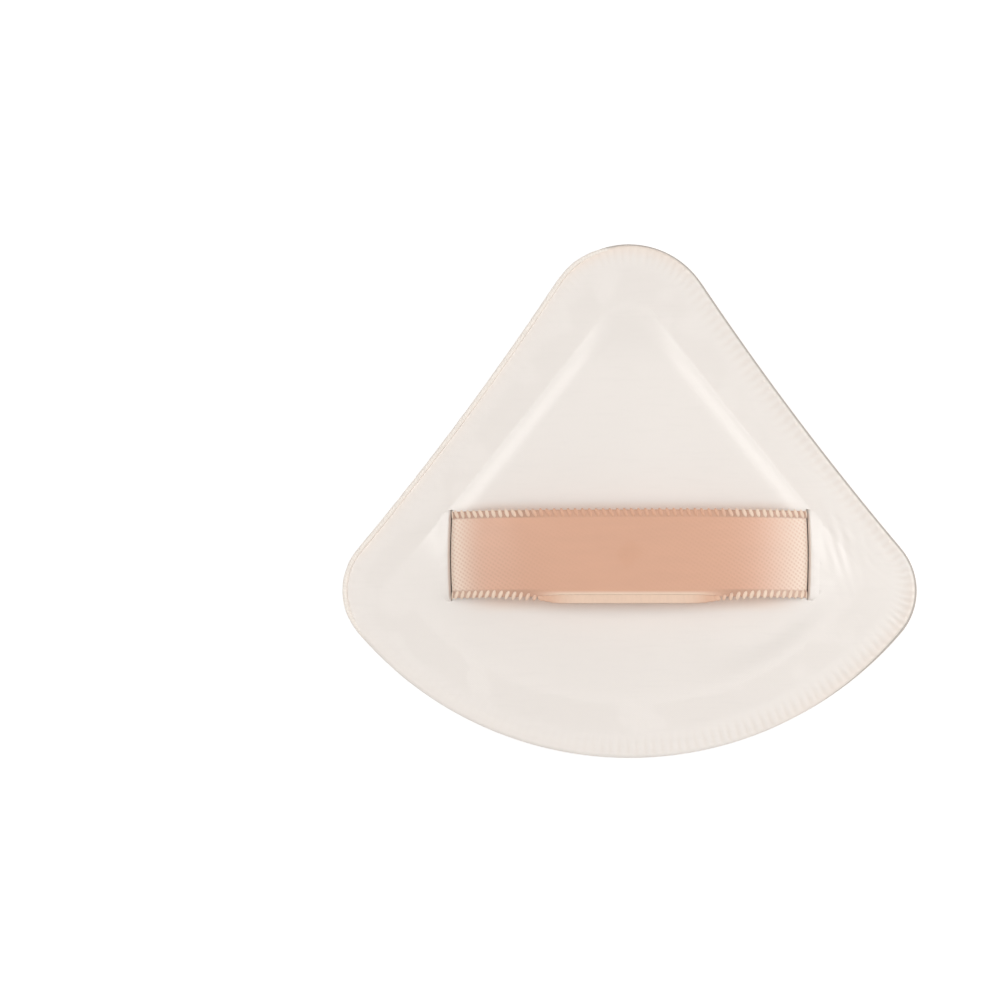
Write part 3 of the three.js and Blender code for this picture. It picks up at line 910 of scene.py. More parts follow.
class POWDERPUFF_OT_velour_face(PuffPieces, bpy.types.Operator):
    """Make the velour cover of the powdering face"""

    bl_idname = "powderpuff.velour_face"
    bl_label = "Velour face"

    def execute(self, context):
        settings = context.scene.powder_puff
        puff = settings.puff
        fan = puff_fan(settings, CLOTH_STEPS)
        outside = crown_rings(fan, puff, 0, 0, 18)
        outside = [*outside, *inner_rings(outside, fan, 6, 0)][::-1]
        outside = self.swell(context, settings, fan, outside)
        turned = []
        for i in range(1, 6):
            angle = i * math.pi / 10
            inset = puff.lip_turn * (1 - math.cos(angle))
            rise = (puff.lip_rise + puff.lip_seam) * math.sin(angle)
            turned.append(level(fan.ring(inset), puff.lip_top - puff.lip_rise + rise))
        top = turned[-1][0, 2]
        lip = [level(fan.ring(puff.lip_width * portion), top) for portion in (0.7, 0.94, 1)]
        inside = crown_rings(fan, puff, puff.lip_width, puff.lip_width, 12)
        rings = [*outside, *turned, *lip, *inside]
        points, faces = skin(rings, (*fan.middle, 0), (*fan.middle, puff.lip_width))
        piece = build_mesh("velour_face", points, faces, velour_finish(settings))
        smoother = piece.modifiers.new("Smoother", "SUBSURF")
        smoother.levels = smoother.render_levels = 1
        finished(piece)
        declare(piece, "velour", "face_cover")
        return {"FINISHED"}

    def swell(self, context, settings, fan, rings):
        """The rings of the face after its cloth, drawn in at first, has swelled over the foam.

        The last ring is held, the ground stops the rest, and no point leaves the puff's own space.
        """
        puff = settings.puff
        grid = (len(rings), len(rings[0]), 3)
        full = np.concatenate(rings)
        heights = full[:, 2]
        loose = 1 - smooth(heights / heights.max(), 0.55, 1)
        random = np.random.default_rng(settings.seed)
        waves = [(random.uniform(-1, 1, 2) * 260, random.uniform(0, 2 * math.pi)) for _ in range(5)]
        uneven = sum(np.sin(full[:, :2] @ way + phase) for way, phase in waves) / 5
        drawn_in = puff.cloth_draw * loose * (1 + uneven * 0.5)
        centre = np.array([*fan.middle, heights.max()])
        inwards = centre - full
        start = full + inwards / np.linalg.norm(inwards, axis=1)[:, None] * drawn_in[:, None]
        start = list(start.reshape(grid))
        lid = inner_rings(start, fan, 3, heights.max())
        points, faces = skin([*start, *lid], (*fan.middle, puff.cloth_draw), tuple(centre))
        held = [*range(len(full) - grid[1], len(points) - 2), len(points) - 1]
        way = self.simulate(context, puff, points, faces, held)[: len(full)] - full
        way = way.reshape(grid)
        for _ in range(CLOTH_EVENING):
            way = (way + np.roll(way, 1, axis=1) + np.roll(way, -1, axis=1)) / 3
        way = way.reshape(-1, 3)
        far = np.linalg.norm(way, axis=1)[:, None]
        swelled = full + way * np.minimum(1, puff.cloth_limit / np.maximum(far, 1e-9))
        swelled[:, 2] = np.maximum(swelled[:, 2], 0)
        return list(swelled.reshape(grid))

    def simulate(self, context, puff, points, faces, held):
        """Where the points of a closed cloth are after it has swelled, with some of them held."""
        piece = build_mesh("swelling_cloth", points * CLOTH_SCALE, faces)
        group = piece.vertex_groups.new(name="Held")
        group.add(held, 1.0, "REPLACE")
        modifier = piece.modifiers.new("Swelling", "CLOTH")
        cloth = modifier.settings
        cloth.quality = 4
        cloth.mass = puff.cloth_weight
        cloth.vertex_group_mass = group.name
        cloth.use_pressure = True
        cloth.uniform_pressure_force = puff.cloth_pressure
        cloth.effector_weights.gravity = 0
        modifier.point_cache.frame_start, modifier.point_cache.frame_end = 1, CLOTH_FRAMES
        for step in range(1, CLOTH_FRAMES + 1):
            context.scene.frame_set(step)
        shown = piece.evaluated_get(context.evaluated_depsgraph_get())
        moved = np.empty(len(points) * 3, np.float32)
        shown.data.vertices.foreach_get("co", moved)
        bpy.data.objects.remove(piece)
        context.scene.frame_set(1)
        return moved.reshape(-1, 3).astype(float) / CLOTH_SCALE


class POWDERPUFF_OT_foam(PuffPieces, bpy.types.Operator):
    """Make the foam core and the firm pad that lies in it"""

    bl_idname = "powderpuff.foam"
    bl_label = "Foam core and pad"

    def execute(self, context):
        settings = context.scene.powder_puff
        self.core(settings)
        self.pad(settings)
        return {"FINISHED"}

    def core(self, settings):
        puff = settings.puff
        fan = puff_fan(settings, PLAIN_STEPS)
        inset = puff.lip_width + puff.clearance
        outside = crown_rings(fan, puff, inset, inset, 16)
        outside = [*outside, *inner_rings(outside, fan, 6, inset)][::-1]
        shoulder = level(fan.ring(inset + puff.lip_turn), puff.lip_top)
        floor = puff.lip_top - SEAT_DEPTH
        seat_edge = raised_fan(settings, PLAIN_STEPS).ring(SEAT_INSET)
        seat = [level(seat_edge, puff.lip_top), level(seat_edge, floor)]
        rings = [*outside, shoulder, *seat, *inner_rings(seat, fan, 4, floor)]
        points, faces = skin(rings, (*fan.middle, inset), (*fan.middle, floor))
        foam = foam_finish("Core foam", settings.colours.core, 0.55 * MM)
        piece = build_mesh("core_foam", points, faces, foam)
        declare(piece, "core_foam", "foam_core")

    def pad(self, settings):
        back = settings.back
        raised = raised_fan(settings, PLAIN_STEPS)
        bottom = settings.puff.lip_top - PAD_DEPTH
        rings = [
            level(raised.ring(PAD_EDGE + PAD_BEVEL), bottom),
            level(raised.ring(PAD_EDGE), bottom + PAD_BEVEL),
        ]

        def add_top(points, inset, crown):
            rise = back.step * raised_share(back, raised, points, inset) + back.crown * crown
            rings.append(level(points, FLANGE_TOP + rise - back.thickness - PAD_ROOM))

        for portion in np.arange(9) / 8:
            inset = PAD_EDGE + (back.slope_width - PAD_EDGE) * portion
            add_top(raised.ring(inset), inset, 0)
        last = rings[-1][:, :2]
        for portion in np.arange(1, 13) / 13:
            points = last + (raised.middle - last) * portion
            add_top(points, back.slope_width, smooth(portion, 0, 1))
        top = FLANGE_TOP + back.step + back.crown - back.thickness - PAD_ROOM
        points, faces = skin(rings, (*raised.middle, bottom), (*raised.middle, top))
        foam = foam_finish("Pad foam", settings.colours.pad, 0.35 * MM)
        piece = build_mesh("middle_pad", points, faces, foam)
        cut(piece, tail_cutters(settings))
        declare(piece, "pad_foam", "back_pad")


def raised_share(back, fan, points, inset):
    """Share of the full step at points inside the raised middle's foot, crisp at the sides only."""
    side = 1 - (1 - np.clip(inset / back.slope_width, 0, 1)) ** back.slope_power
    from_base = fan.base_radius - np.linalg.norm(points - fan.base_centre, axis=1)
    crisp = smooth(points[:, 0], 4 * MM, 19 * MM)
    fade = back.base_fade + (back.base_fade_right - back.base_fade) * crisp
    base = smooth(from_base / fade, -0.1, 1)
    tip = smooth((fan.top - points[:, 1]) / back.tip_fade, -0.1, 1)
    corner = 1 - back.corner_fade * smooth(np.abs(points[:, 0]), 22 * MM, 31 * MM)
    return side * base * tip * corner


def cut(piece, other):
    """Takes another form out of a piece."""
    modifier = piece.modifiers.new("Cut", "BOOLEAN")
    modifier.operation = "DIFFERENCE"
    modifier.solver = "MANIFOLD"
    modifier.object = other
    finished(piece)
    bpy.data.objects.remove(other)


def cutter(outlines, low, high):
    """Upright forms between two heights, whose outlines run counterclockwise."""
    points, faces = [], []
    for outline in outlines:
        faces.extend(face[::-1] for face in tube(len(points), 2, len(outline)))
        points.extend((x, y, height) for height in (low, high) for x, y in outline)
    return build_mesh("cutter", points, faces)


def tail_cutters(settings):
    """The recesses in the pad for the ribbon's tails and their patches."""
    ribbon = settings.ribbon
    start = PATCH_LOW.x - RECESS_ROOM
    end = slit_distance(ribbon) + ribbon.slit_bow + RECESS_PAST
    half = ribbon.width / 2 + RECESS_SIDE
    low, high = ribbon.middle - half, ribbon.middle + half
    spans = ((start, end), (-end, -start))
    boxes = [((left, low), (right, low), (right, high), (left, high)) for left, right in spans]
    return cutter(boxes, PATCH_LOW.z - RECESS_ROOM, RECESS_TOP)


def facing(fan, way, low, high):
    """How far each point of an outline faces a way, as a soft step."""
    return smooth(fan.normals @ np.array(way), low, high)


def loose_share(fan):
    """1 round the left side and corner, where the rolled edge stands clear of the cover, else 0."""
    return facing(fan, (-0.95, 0.3), 0.35, 0.85)


def base_share(fan):
    """1 round the base, where the cover's rim reaches out over the velour, else 0."""
    return facing(fan, (-0.2, -0.98), 0.45, 0.85)


def painted_rim_glow(fan):
    """Strength of the rim's painted warm reflection, most at the tip and the corners."""
    tip = 0.55 * facing(fan, (0, 1), 0.45, 0.95)
    corner = 0.35 * facing(fan, (0.9, -0.43), 0.6, 1)
    left = 0.06 * (1 - facing(fan, (1, 0), -0.3, 0.3))
    return left + np.maximum(tip, corner)


def piping_lay(fan, back):
    """Inset and radius of the rolled edge, which hides the lip where it stands clear."""
    loose = loose_share(fan)
    inset = back.piping_inset - back.base_reach * base_share(fan)
    inset += (back.piping_inset_left - inset) * loose
    radius = back.piping_radius * (back.piping_tight + (1 - back.piping_tight) * loose)
    return inset, radius


def gather_rule(g, x, across, along):
    """How far each point is drawn in by a stitch of the rim, from 0 to 1, and most at the right."""
    reach, seed = g["Pucker reach"], g["Seed"]
    window = across.step(0.1 * MM, 0.7 * MM) * (1.0 - across.step(reach * 0.3, reach))
    wander = g.grain(along / (3 * MM), across / (5 * MM), seed)
    stitch = ((along / g["Pucker pitch"] + wander * 0.5).wave() * 0.5 + 0.5) ** 1.4
    uneven = g.grain(along / (9 * MM), 4.0, seed) * 0.9 + 0.35
    side = x.step(-14 * MM, 10 * MM) * 0.85 + 0.15
    return stitch * window * side * uneven


def crease_rule(g, x, y, across):
    """Height of the creases along the right side and of the folds beside the right slit."""
    lean, seed = g["Side angle"], g["Seed"]
    cosine, sine = lean.cosine(), lean.math("SINE")
    outwards = x * cosine + y * sine
    down = x * sine - y * cosine
    drift = g.grain(down / (8 * MM), outwards / (3 * MM), seed + 3.0)
    place = g.vector(down / g["Crease length"], outwards / g["Crease width"] + drift, seed)
    ripple = g.noise(place, roughness=0.45)
    ridge = (1.0 - ((ripple * 2.0 - 1.0).size() * 2.6).held()).step(0.0, 1.0)
    right = down.step(-4 * MM, 6 * MM) * (1.0 - down.step(26 * MM, 33 * MM))
    band = across.step(1.6 * MM, 3.0 * MM) * (1.0 - across.step(4.6 * MM, 7.0 * MM))
    band = band * x.step(0.0, 5 * MM) * y.step(-24 * MM, -16 * MM)
    folds = ((x + y * 0.3) / (1.6 * MM) + drift * 0.8).wave() * 0.5 + 0.5
    near = x.bell(28.4 * MM, 2.2 * MM) * y.bell(-6 * MM, 4.5 * MM) * x.step(25 * MM, 26 * MM)
    return (ridge * right * band * 0.6 + folds * near) * g["Crease depth"]


def lift_rule(g, x, y):
    """How far the ribbon lifts the cover along the outer side of each slit."""
    out = x.size() - g["Slit distance"]
    beside = out.step(-1.2 * MM, -0.3 * MM) * (1.0 - out.step(0.5 * MM, 2.1 * MM))
    ends = ((y - g["Slit middle"]) / g["Slit half length"]).size()
    return beside * (1.0 - ends.step(0.75, 1.15)) * g["Slit lift"]


def relief_tree(lengths):
    """The rule of the satin back: raised middle, stitch puckers, creases and lifted slits."""
    g = Shape("Satin relief", lengths, ("Side angle",))
    across, along, raised, dome, top = (g.attribute(name) for name in COVER_NUMBERS[:5])
    x, y, _ = g.position()
    form = raised * g["Step"] + dome.step(0.0, 1.0) * g["Crown"]
    gather = gather_rule(g, x, across, along)
    soft = g.grain(x / (14 * MM), y / (14 * MM), g["Seed"] + 9.0) - 0.5
    relief = crease_rule(g, x, y, across) + lift_rule(g, x, y) + soft * (0.12 * MM)
    total = form + top * (relief - gather * g["Pucker depth"])
    # The gather also drives painted shade in the troughs, in the satin's finish
    marked = g.keep(g.geometry(), "gather", gather * top)
    return g.end(g.moved(marked, g.vector(0.0, 0.0, total)))


class CoverRings:
    """Rings of the satin back, from the middle of its underside out round the rim and in again."""

    def __init__(self, settings):
        self.back = settings.back
        self.fan, self.raised = puff_fan(settings, FINE_STEPS), raised_fan(settings, FINE_STEPS)
        self.beside = loose_share(self.fan)
        self.reach_out = self.back.base_reach * base_share(self.fan) * (1 - self.beside)
        self.rim_glow = painted_rim_glow(self.fan)
        self.along = self.fan.along()
        self.edge, self.foot = self.fan.ring(RIM_WIDTH), self.raised.ring(0)
        self.flange_width = np.linalg.norm(self.foot - self.edge, axis=1)
        self.foot_across = RIM_WIDTH + self.flange_width
        self.rings, self.numbers = [], []

    def add(self, points, height, across, raised, dome, top):
        self.rings.append(level(points, height))
        # Strength of the painted warm reflection on the rim, fading inwards from its edge
        rim = self.rim_glow * np.exp(-((across / RIM_GLOW_FADE) ** 2)) * top
        columns = (across, self.along, raised, dome, top, rim)
        even = [np.broadcast_to(column, (len(points),)) for column in columns]
        self.numbers.append(np.stack(even, axis=1))

    def rim(self, wrapped, laid, top):
        """Rings of the rim, between its section round the rolled edge and the one beside it."""
        for (inset, height), (inset_beside, height_beside) in zip(wrapped, laid):
            inset = (inset + (inset_beside - inset) * self.beside) * MM
            inset -= self.reach_out * (1 - smooth(inset, 0.55 * MM, 1.2 * MM))
            height = (height + (height_beside - height) * self.beside) * MM
            self.add(self.fan.ring(inset), FLANGE_TOP + height, inset, 0, 0, top)

    def flange(self, portion, height, top):
        points = self.edge + (self.foot - self.edge) * portion
        self.add(points, height, RIM_WIDTH + self.flange_width * portion, 0, 0, top)

    def slope(self, portion, height, top):
        inset = self.back.slope_width * portion
        points = self.raised.ring(inset)
        raised = raised_share(self.back, self.raised, points, inset)
        self.add(points, height, self.foot_across + inset, raised, 0, top)

    def dome(self, portion, height, top):
        width = self.back.slope_width
        last = self.raised.ring(width)
        points = last + (self.raised.middle - last) * portion
        raised = raised_share(self.back, self.raised, points, width)
        self.add(points, height, (self.foot_across + width) * (1 + portion), raised, portion, top)

    def lay(self, part, portions, height, top):
        """Rings of one part at several portions of its width."""
        for portion in portions:
            part(portion, height, top)

    def build(self, material):
        """The cover without its relief, which its Geometry Nodes tree adds."""
        low = FLANGE_TOP - self.back.thickness
        self.lay(self.dome, (0.8, 0.5, 0.2), low, 0)
        self.lay(self.slope, (1, 0.55, 0.2), low, 0)
        self.lay(self.flange, (1, 0.4, 0), low, 0)
        self.rim(RIM_UNDER_WRAPPED, RIM_UNDER_BESIDE, 0)
        self.rim(RIM_WRAPPED, RIM_BESIDE, 1)
        self.lay(self.flange, np.linspace(0, 0.62, 16), FLANGE_TOP, 1)
        self.lay(self.flange, np.linspace(0.62, 1, 9)[1:], FLANGE_TOP, 1)
        self.lay(self.slope, (np.arange(1, 13) / 12) ** 1.25, FLANGE_TOP, 1)
        self.lay(self.dome, np.arange(1, 16) / 16, FLANGE_TOP, 1)
        middle = self.raised.middle
        points, faces = skin(self.rings, (*middle, low), (*middle, FLANGE_TOP))
        piece = build_mesh("satin_back", points, faces, material)
        numbers = np.concatenate([*self.numbers, [[1, 0, 1, 1, top, 0] for top in (0, 1)]])
        for name, column in zip(COVER_NUMBERS, numbers.T):
            store(piece, name, column)
        return piece


class POWDERPUFF_OT_satin_back(PuffPieces, bpy.types.Operator):
    """Make the satin cover of the back, with its raised middle, puckered rim and slits"""

    bl_idname = "powderpuff.satin_back"
    bl_label = "Satin back"

    def execute(self, context):
        settings = context.scene.powder_puff
        back, ribbon = settings.back, settings.ribbon
        rings = CoverRings(settings)
        material = satin_finish(settings)
        piece = rings.build(material)
        lengths = {
            "Step": back.step,
            "Crown": back.crown,
            "Pucker pitch": back.pucker_pitch,
            "Pucker depth": back.pucker_depth,
            "Pucker reach": 3.6 * MM,
            "Crease depth": back.crease_depth,
            "Crease length": 8.5 * MM,
            "Crease width": 2.2 * MM,
            "Slit distance": slit_distance(ribbon),
            "Slit middle": ribbon.middle,
            "Slit half length": ribbon.width / 2,
            "Slit lift": back.slit_lift,
        }
        inputs = {
            **lengths,
            "Side angle": settings.puff.side_angle,
            "Seed": settings.seed,
            "Material": material,
        }
        apply_tree(piece, relief_tree(lengths), inputs)
        finished(piece)
        lips = slit_lips(settings, piece)
        cut(piece, slit_cutters(settings))
        join_pieces([piece, lips])
        area = polygon_area(rings.fan.ring(RIM_WRAPPED[1][0] * MM))
        declare(piece, "satin", "back_cover")
        return {"FINISHED"}


def polygon_area(points):
    following = np.roll(points, -1, axis=0)
    return abs(np.sum(points[:, 0] * following[:, 1] - following[:, 0] * points[:, 1])) / 2


def slit_distance(ribbon):
    """From the puff's middle line to the outer side of a slit, at its ends."""
    return ribbon.span / 2 - FOLD_SHIFT + ribbon.slit_gap


def slit_lips(settings, cover):
    """The turned-down lips that the cover has along the outer side of its slits."""
    ribbon = settings.ribbon
    half = ribbon.width / 2 + SLIT_BEYOND
    corners = [vertex.co for vertex in cover.data.vertices]
    tree = BVHTree.FromPolygons(corners, [tuple(face.vertices) for face in cover.data.polygons])

    def surface(x, y):
        """Height of the cover at a place, found from well above it."""
        return tree.ray_cast(Vector((x, y, 0.05)), Vector((0, 0, -1)))[0].z

    stations = np.linspace(-1.05, 1.05, 71)
    points, faces = [], []
    for side in (1, -1):
        # The tube's faces turn outwards at the left as they are, and reversed at the right
        faces.extend(face[::-side] for face in tube(len(points), len(stations), len(LIP)))
        for t in stations:
            edge_x = slit_distance(ribbon) + ribbon.slit_bow * (1 - min(1, t * t))
            y = ribbon.middle + t * half
            near, next_to = (surface(side * (edge_x + d * MM), y) for d in (0.2, 0.5))
            fade = 1 - float(smooth(abs(t), 0.9, 1.05))
            # Up to 0.2 mm outside the slit, the base carries on the slope from further out
            for out, up in LIP:
                x = side * (edge_x + out * MM)
                base = surface(x, y) if out > 0.2 else near + (near - next_to) * (0.2 - out) / 0.3
                height = up * fade if up > 0 else up * (0.45 + 0.55 * fade)
                points.append((x, y, base + (height - 0.05 * (1 - fade)) * MM))
    return build_mesh("slit_lips", points, faces, cover.data.materials[0])


def slit_cutters(settings):
    """Two upright cutters, each with a pocket for the ribbon and a bowed outer side."""
    ribbon = settings.ribbon
    outer = slit_distance(ribbon) + SLIT_UNDER
    inner = ribbon.span / 2 - FOLD_SHIFT - ribbon.thickness - SLIT_INSIDE
    across = outer - SLIT_LONG
    half = ribbon.width / 2 + SLIT_BEYOND
    held = ribbon.width / 2 - SLIT_POCKET
    bowed = [(outer + ribbon.slit_bow * (1 - t * t), t * half) for t in np.linspace(-1, 1, 33)]
    outline = [(inner, -held), (across, -held), (across, -half), *bowed]
    outline += [(across, half), (across, held), (inner, held)]
    both = [[(side * x, ribbon.middle + side * y) for x, y in outline] for side in (1, -1)]
    return cutter(both, *SLIT_CUT)


def rolled_tree():
    """A roll of cloth along a curve, a little uneven along its length."""
    g = Shape("Rolled edge", ("Radius", "Unevenness"))
    spline = g.node("GeometryNodeSplineParameter").outputs
    inputs = {"Resolution": 14, "Radius": g["Radius"]}
    ring = g.node("GeometryNodeCurvePrimitiveCircle", inputs, mode="RADIUS")
    profile = g.keep(ring.outputs[0], "around", spline["Factor"])
    line = g.keep(g.geometry(), "along", spline["Length"])
    roll = g.node("GeometryNodeCurveToMesh", {"Curve": line, "Profile Curve": profile})
    x, y, z = g.position()
    lumps = g.grain(x / (1.6 * MM), y / (1.6 * MM), z / (0.5 * MM) + g["Seed"], 2.0) - 0.5
    inputs = {0: g.node("GeometryNodeInputNormal").outputs[0], "Scale": lumps * g["Unevenness"]}
    push = g.node("ShaderNodeVectorMath", inputs, operation="SCALE")
    inputs = {"Geometry": g.moved(roll.outputs[0], push.outputs[0]), "Name": "cloth"}
    uv = g.node("GeometryNodeStoreNamedAttribute", inputs, data_type="FLOAT2", domain="CORNER")
    pair = g.vector(g.attribute("along"), g.attribute("around"), 0.0)
    g.feed(typed(uv.inputs, "Value", "VECTOR"), pair)
    return g.end(uv.outputs[0])


def path_object(name, points, cyclic, radii=None):
    """A curve object through points, with a share of its full radius at each."""
    curve = bpy.data.curves.new(name, "CURVE")
    curve.dimensions = "3D"
    spline = curve.splines.new("POLY")
    spline.points.add(len(points) - 1)
    spline.points.foreach_set("co", np.column_stack([points, np.ones(len(points))]).ravel())
    spline.use_cyclic_u = cyclic
    if radii is not None:
        spline.points.foreach_set("radius", radii)
    path = bpy.data.objects.new(name, curve)
    bpy.context.scene.collection.objects.link(path)
    return path


class POWDERPUFF_OT_edge_piping(PuffPieces, bpy.types.Operator):
    """Make the rolled piping round the edge of the back"""

    bl_idname = "powderpuff.edge_piping"
    bl_label = "Edge piping"

    def execute(self, context):
        settings = context.scene.powder_puff
        back = settings.back
        fan = puff_fan(settings, ROLL_STEPS)
        inset, radius = piping_lay(fan, back)
        points = level(fan.ring(inset + radius), PIPING_LOW.z + radius + ROLL_ROOM)
        path = path_object("piping_roll", points, True, radius / back.piping_radius)
        inputs = {
            "Radius": back.piping_radius,
            "Unevenness": ROLL_UNEVENNESS,
            "Seed": settings.seed,
            "Material": piping_finish(settings),
        }
        apply_tree(path, rolled_tree(), inputs)
        piece = finished(path)
        declare(piece, "piping", "edge_piping")
        return {"FINISHED"}


def unit(angle):
    """A step of length 1 in a direction."""
    return np.array([math.cos(angle), math.sin(angle)])


def arc(centre, radius, start, end, steps):
    angles = np.linspace(start, end, steps + 1)
    return centre + radius * np.stack([np.cos(angles), np.sin(angles)], axis=1)


def ribbon_line(settings):
    """The ribbon's centre line in the X-Z plane, from the end of one tail to the other."""
    ribbon = settings.ribbon
    leg = (ribbon.span - ribbon.thickness) / 2
    fold = np.array([leg - ribbon.fold_radius, FLANGE_TOP + ribbon.fold_height])
    end_turn = math.pi / 2 - ribbon.end_angle
    strap_end = fold + ribbon.fold_radius * unit(end_turn)
    crest = np.array([0, strap_end[1] + ribbon.lift])
    handles = (
        crest,
        np.array([ribbon.crest_share * strap_end[0], crest[1]]),
        strap_end - unit(-ribbon.end_angle) * ribbon.end_share * strap_end[0],
        strap_end,
    )
    t = np.linspace(0, 1, 160)[:, None]
    weights = ((1 - t) ** 3, 3 * t * (1 - t) ** 2, 3 * t * t * (1 - t), t**3)
    strap = sum(weight * handle for weight, handle in zip(weights, handles))
    tuck_z = RIBBON_LOW.z + ribbon.thickness / 2 + ribbon.tail_fold
    tuck = np.array([leg - ribbon.tail_fold, tuck_z])
    tuck_end = -math.pi / 2 - ribbon.tail_angle
    slope_start = tuck + ribbon.tail_fold * unit(tuck_end)
    tail_level = PATCH_HIGH.z + settings.puff.clearance + ribbon.thickness / 2
    ease_z = tail_level - ribbon.tail_ease
    slope_end_z = ease_z + ribbon.tail_ease * math.cos(ribbon.tail_angle)
    slope_end_x = slope_start[0] - (slope_end_z - slope_start[1]) / math.tan(ribbon.tail_angle)
    ease = np.array([slope_end_x - ribbon.tail_ease * math.sin(ribbon.tail_angle), ease_z])
    half = [
        strap,
        arc(fold, ribbon.fold_radius, end_turn, 0, 16)[1:],
        arc(tuck, ribbon.tail_fold, 0, tuck_end, 16),
        arc(ease, ribbon.tail_ease, math.pi / 2 - ribbon.tail_angle, math.pi / 2, 8),
        [[ribbon.span / 2 - ribbon.tail_length, tail_level]],
    ]
    half = np.concatenate(half)
    return np.concatenate([half[:0:-1] * (-1, 1), half])


def even_line(points, spacing):
    """A line through the same places with evenly spaced points, and how far along each is."""
    gaps = np.linalg.norm(np.diff(points, axis=0), axis=1)
    reached = np.concatenate([[0], np.cumsum(gaps)])
    count = int(round(reached[-1] / spacing))
    wanted = np.linspace(0, reached[-1], count + 1)
    return np.stack([np.interp(wanted, reached, points[:, i]) for i in range(2)], axis=1), wanted


class RibbonCourse:
    """The ribbon's centre line, and how its cloth lies at a place across it, from -1 to 1."""

    def __init__(self, settings):
        self.ribbon = settings.ribbon
        self.line, self.reached = even_line(ribbon_line(settings), 0.2 * MM)
        ahead = np.gradient(self.line, axis=0)
        ahead /= np.linalg.norm(ahead, axis=1)[:, None]
        self.up = np.stack([-ahead[:, 1], ahead[:, 0]], axis=1)
        self.from_middle = self.reached - self.reached[-1] / 2

    def lift(self, across):
        """Unevenness of the free cloth: a low crown, waves at the left and wavy edges."""
        free = 1 - smooth(np.abs(self.line[:, 0]), 19 * MM, 23.5 * MM)
        free *= self.line[:, 1] > RIBBON_LOW.z + 1.5 * MM
        crown = 0.14 * MM * (1 - across**2)
        s = self.from_middle / MM
        wave = 0.03 * np.sin(s / 1.35 + 2.1 * across) * smooth(-s, 4, 12) * (1 - smooth(-s, 18, 24))
        edge = 0.07 * across**2 * np.sin(s / 3.3 + (0.6 if across > 0 else 2.2))
        return free * (crown + (wave + edge) * MM)

    def bow(self, across):
        """How far the folds move outwards."""
        near = smooth(np.abs(self.line[:, 0]), 17 * MM, 24 * MM)
        outwards = self.ribbon.slit_bow * (1 - across**2) - FOLD_SHIFT
        return np.sign(self.line[:, 0]) * near * outwards

    def gathered(self):
        """Share of its full width that the ribbon keeps where it passes through a slit."""
        below = COVER_LOW.z + 1.4 * MM - self.line[:, 1]
        return 1 - 0.06 * smooth(below, 0, 0.7 * MM)

    def at(self, across, height):
        """The line of the cloth at a height over its middle."""
        line = self.line + self.up * (height + self.lift(across))[:, None]
        line[:, 0] += self.bow(across)
        return line


class POWDERPUFF_OT_finger_ribbon(PuffPieces, bpy.types.Operator):
    """Make the finger ribbon with its folds, tails and looped edges"""

    bl_idname = "powderpuff.finger_ribbon"
    bl_label = "Finger ribbon"

    def execute(self, context):
        settings = context.scene.powder_puff
        ribbon = settings.ribbon
        course = RibbonCourse(settings)
        strap = self.strap(settings, course)
        loops = self.loops(settings, course)
        flat = (ribbon.width, float(course.reached[-1]))
        declare(strap, "ribbon", "finger_ribbon")
        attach(loops, "root")
        return {"FINISHED"}

    def strap(self, settings, course):
        ribbon = settings.ribbon
        half = ribbon.width / 2 - STRAP_INSET
        upper = [(across, 1.0) for across in np.sin(np.linspace(-0.97, 0.97, 41) * math.pi / 2)]
        lower = [(across, -1.0) for across, _ in reversed(upper)]
        section = [*upper, (1.0, 0.55), (1.0, -0.55), *lower, (-1.0, -0.55), (-1.0, 0.55)]
        columns, uvs = [], []
        for across, side in section:
            line = course.at(across, side * ribbon.thickness / 2)
            y = ribbon.middle + across * half * course.gathered()
            columns.append(np.column_stack([line[:, 0], y, line[:, 1]]))
            uvs.append(np.column_stack([course.from_middle, np.full(len(line), across * half)]))
        points, uv = (np.stack(parts, axis=1) for parts in (columns, uvs))
        faces = tube(0, *points.shape[:2])
        piece = build_mesh("finger_strap", points.reshape(-1, 3), faces, ribbon_finish(settings))
        layer = piece.data.uv_layers.new(name="cloth")
        corners = np.empty(len(piece.data.loops), np.int32)
        piece.data.loops.foreach_get("vertex_index", corners)
        layer.data.foreach_set("uv", uv.reshape(-1, 2)[corners].astype(np.float32).ravel())
        return piece

    def loops(self, settings, course):
        ribbon = settings.ribbon
        material = loop_finish(settings)
        shown = np.abs(course.line[:, 0]) < ribbon.span / 2
        shown &= course.line[:, 1] > COVER_LOW.z + 0.7 * MM
        made = []
        for side in (1, -1):
            across = side * (1 - LOOP_INSET / (ribbon.width / 2))
            line = course.at(across, ribbon.thickness / 2)[shown]
            free = 1 - smooth(np.abs(line[:, 0]), 9 * MM, 19 * MM)
            y = ribbon.middle + across * ribbon.width / 2 - LOOP_DROP * free * (side < 0)
            path = path_object("ribbon_loops", np.column_stack([line[:, 0], y, line[:, 1]]), False)
            inputs = {
                "Pitch": ribbon.loop_pitch,
                "Loop length": ribbon.loop_length,
                "Loop width": ribbon.loop_width,
                "Loop height": LOOP_HEIGHT,
                "Slant": side * ribbon.loop_slant,
                "Side": float(side),
                "Seed": settings.seed + side,
                "Material": material,
            }
            apply_tree(path, loops_tree(), inputs)
            made.append(finished(path))
        return join_pieces(made)


def join_pieces(pieces):
    """Joins pieces of one kind into the first."""
    first, *others = pieces
    material = next(m for m in reversed(first.data.materials[:]) if m is not None)
    joined = bmesh.new()
    joined.from_mesh(first.data)
    for piece in others:
        joined.from_mesh(piece.data)
        bpy.data.objects.remove(piece)
    for face in joined.faces:
        face.material_index = 0
    joined.to_mesh(first.data)
    joined.free()
    first.data.materials.clear()
    first.data.materials.append(material)
    return first


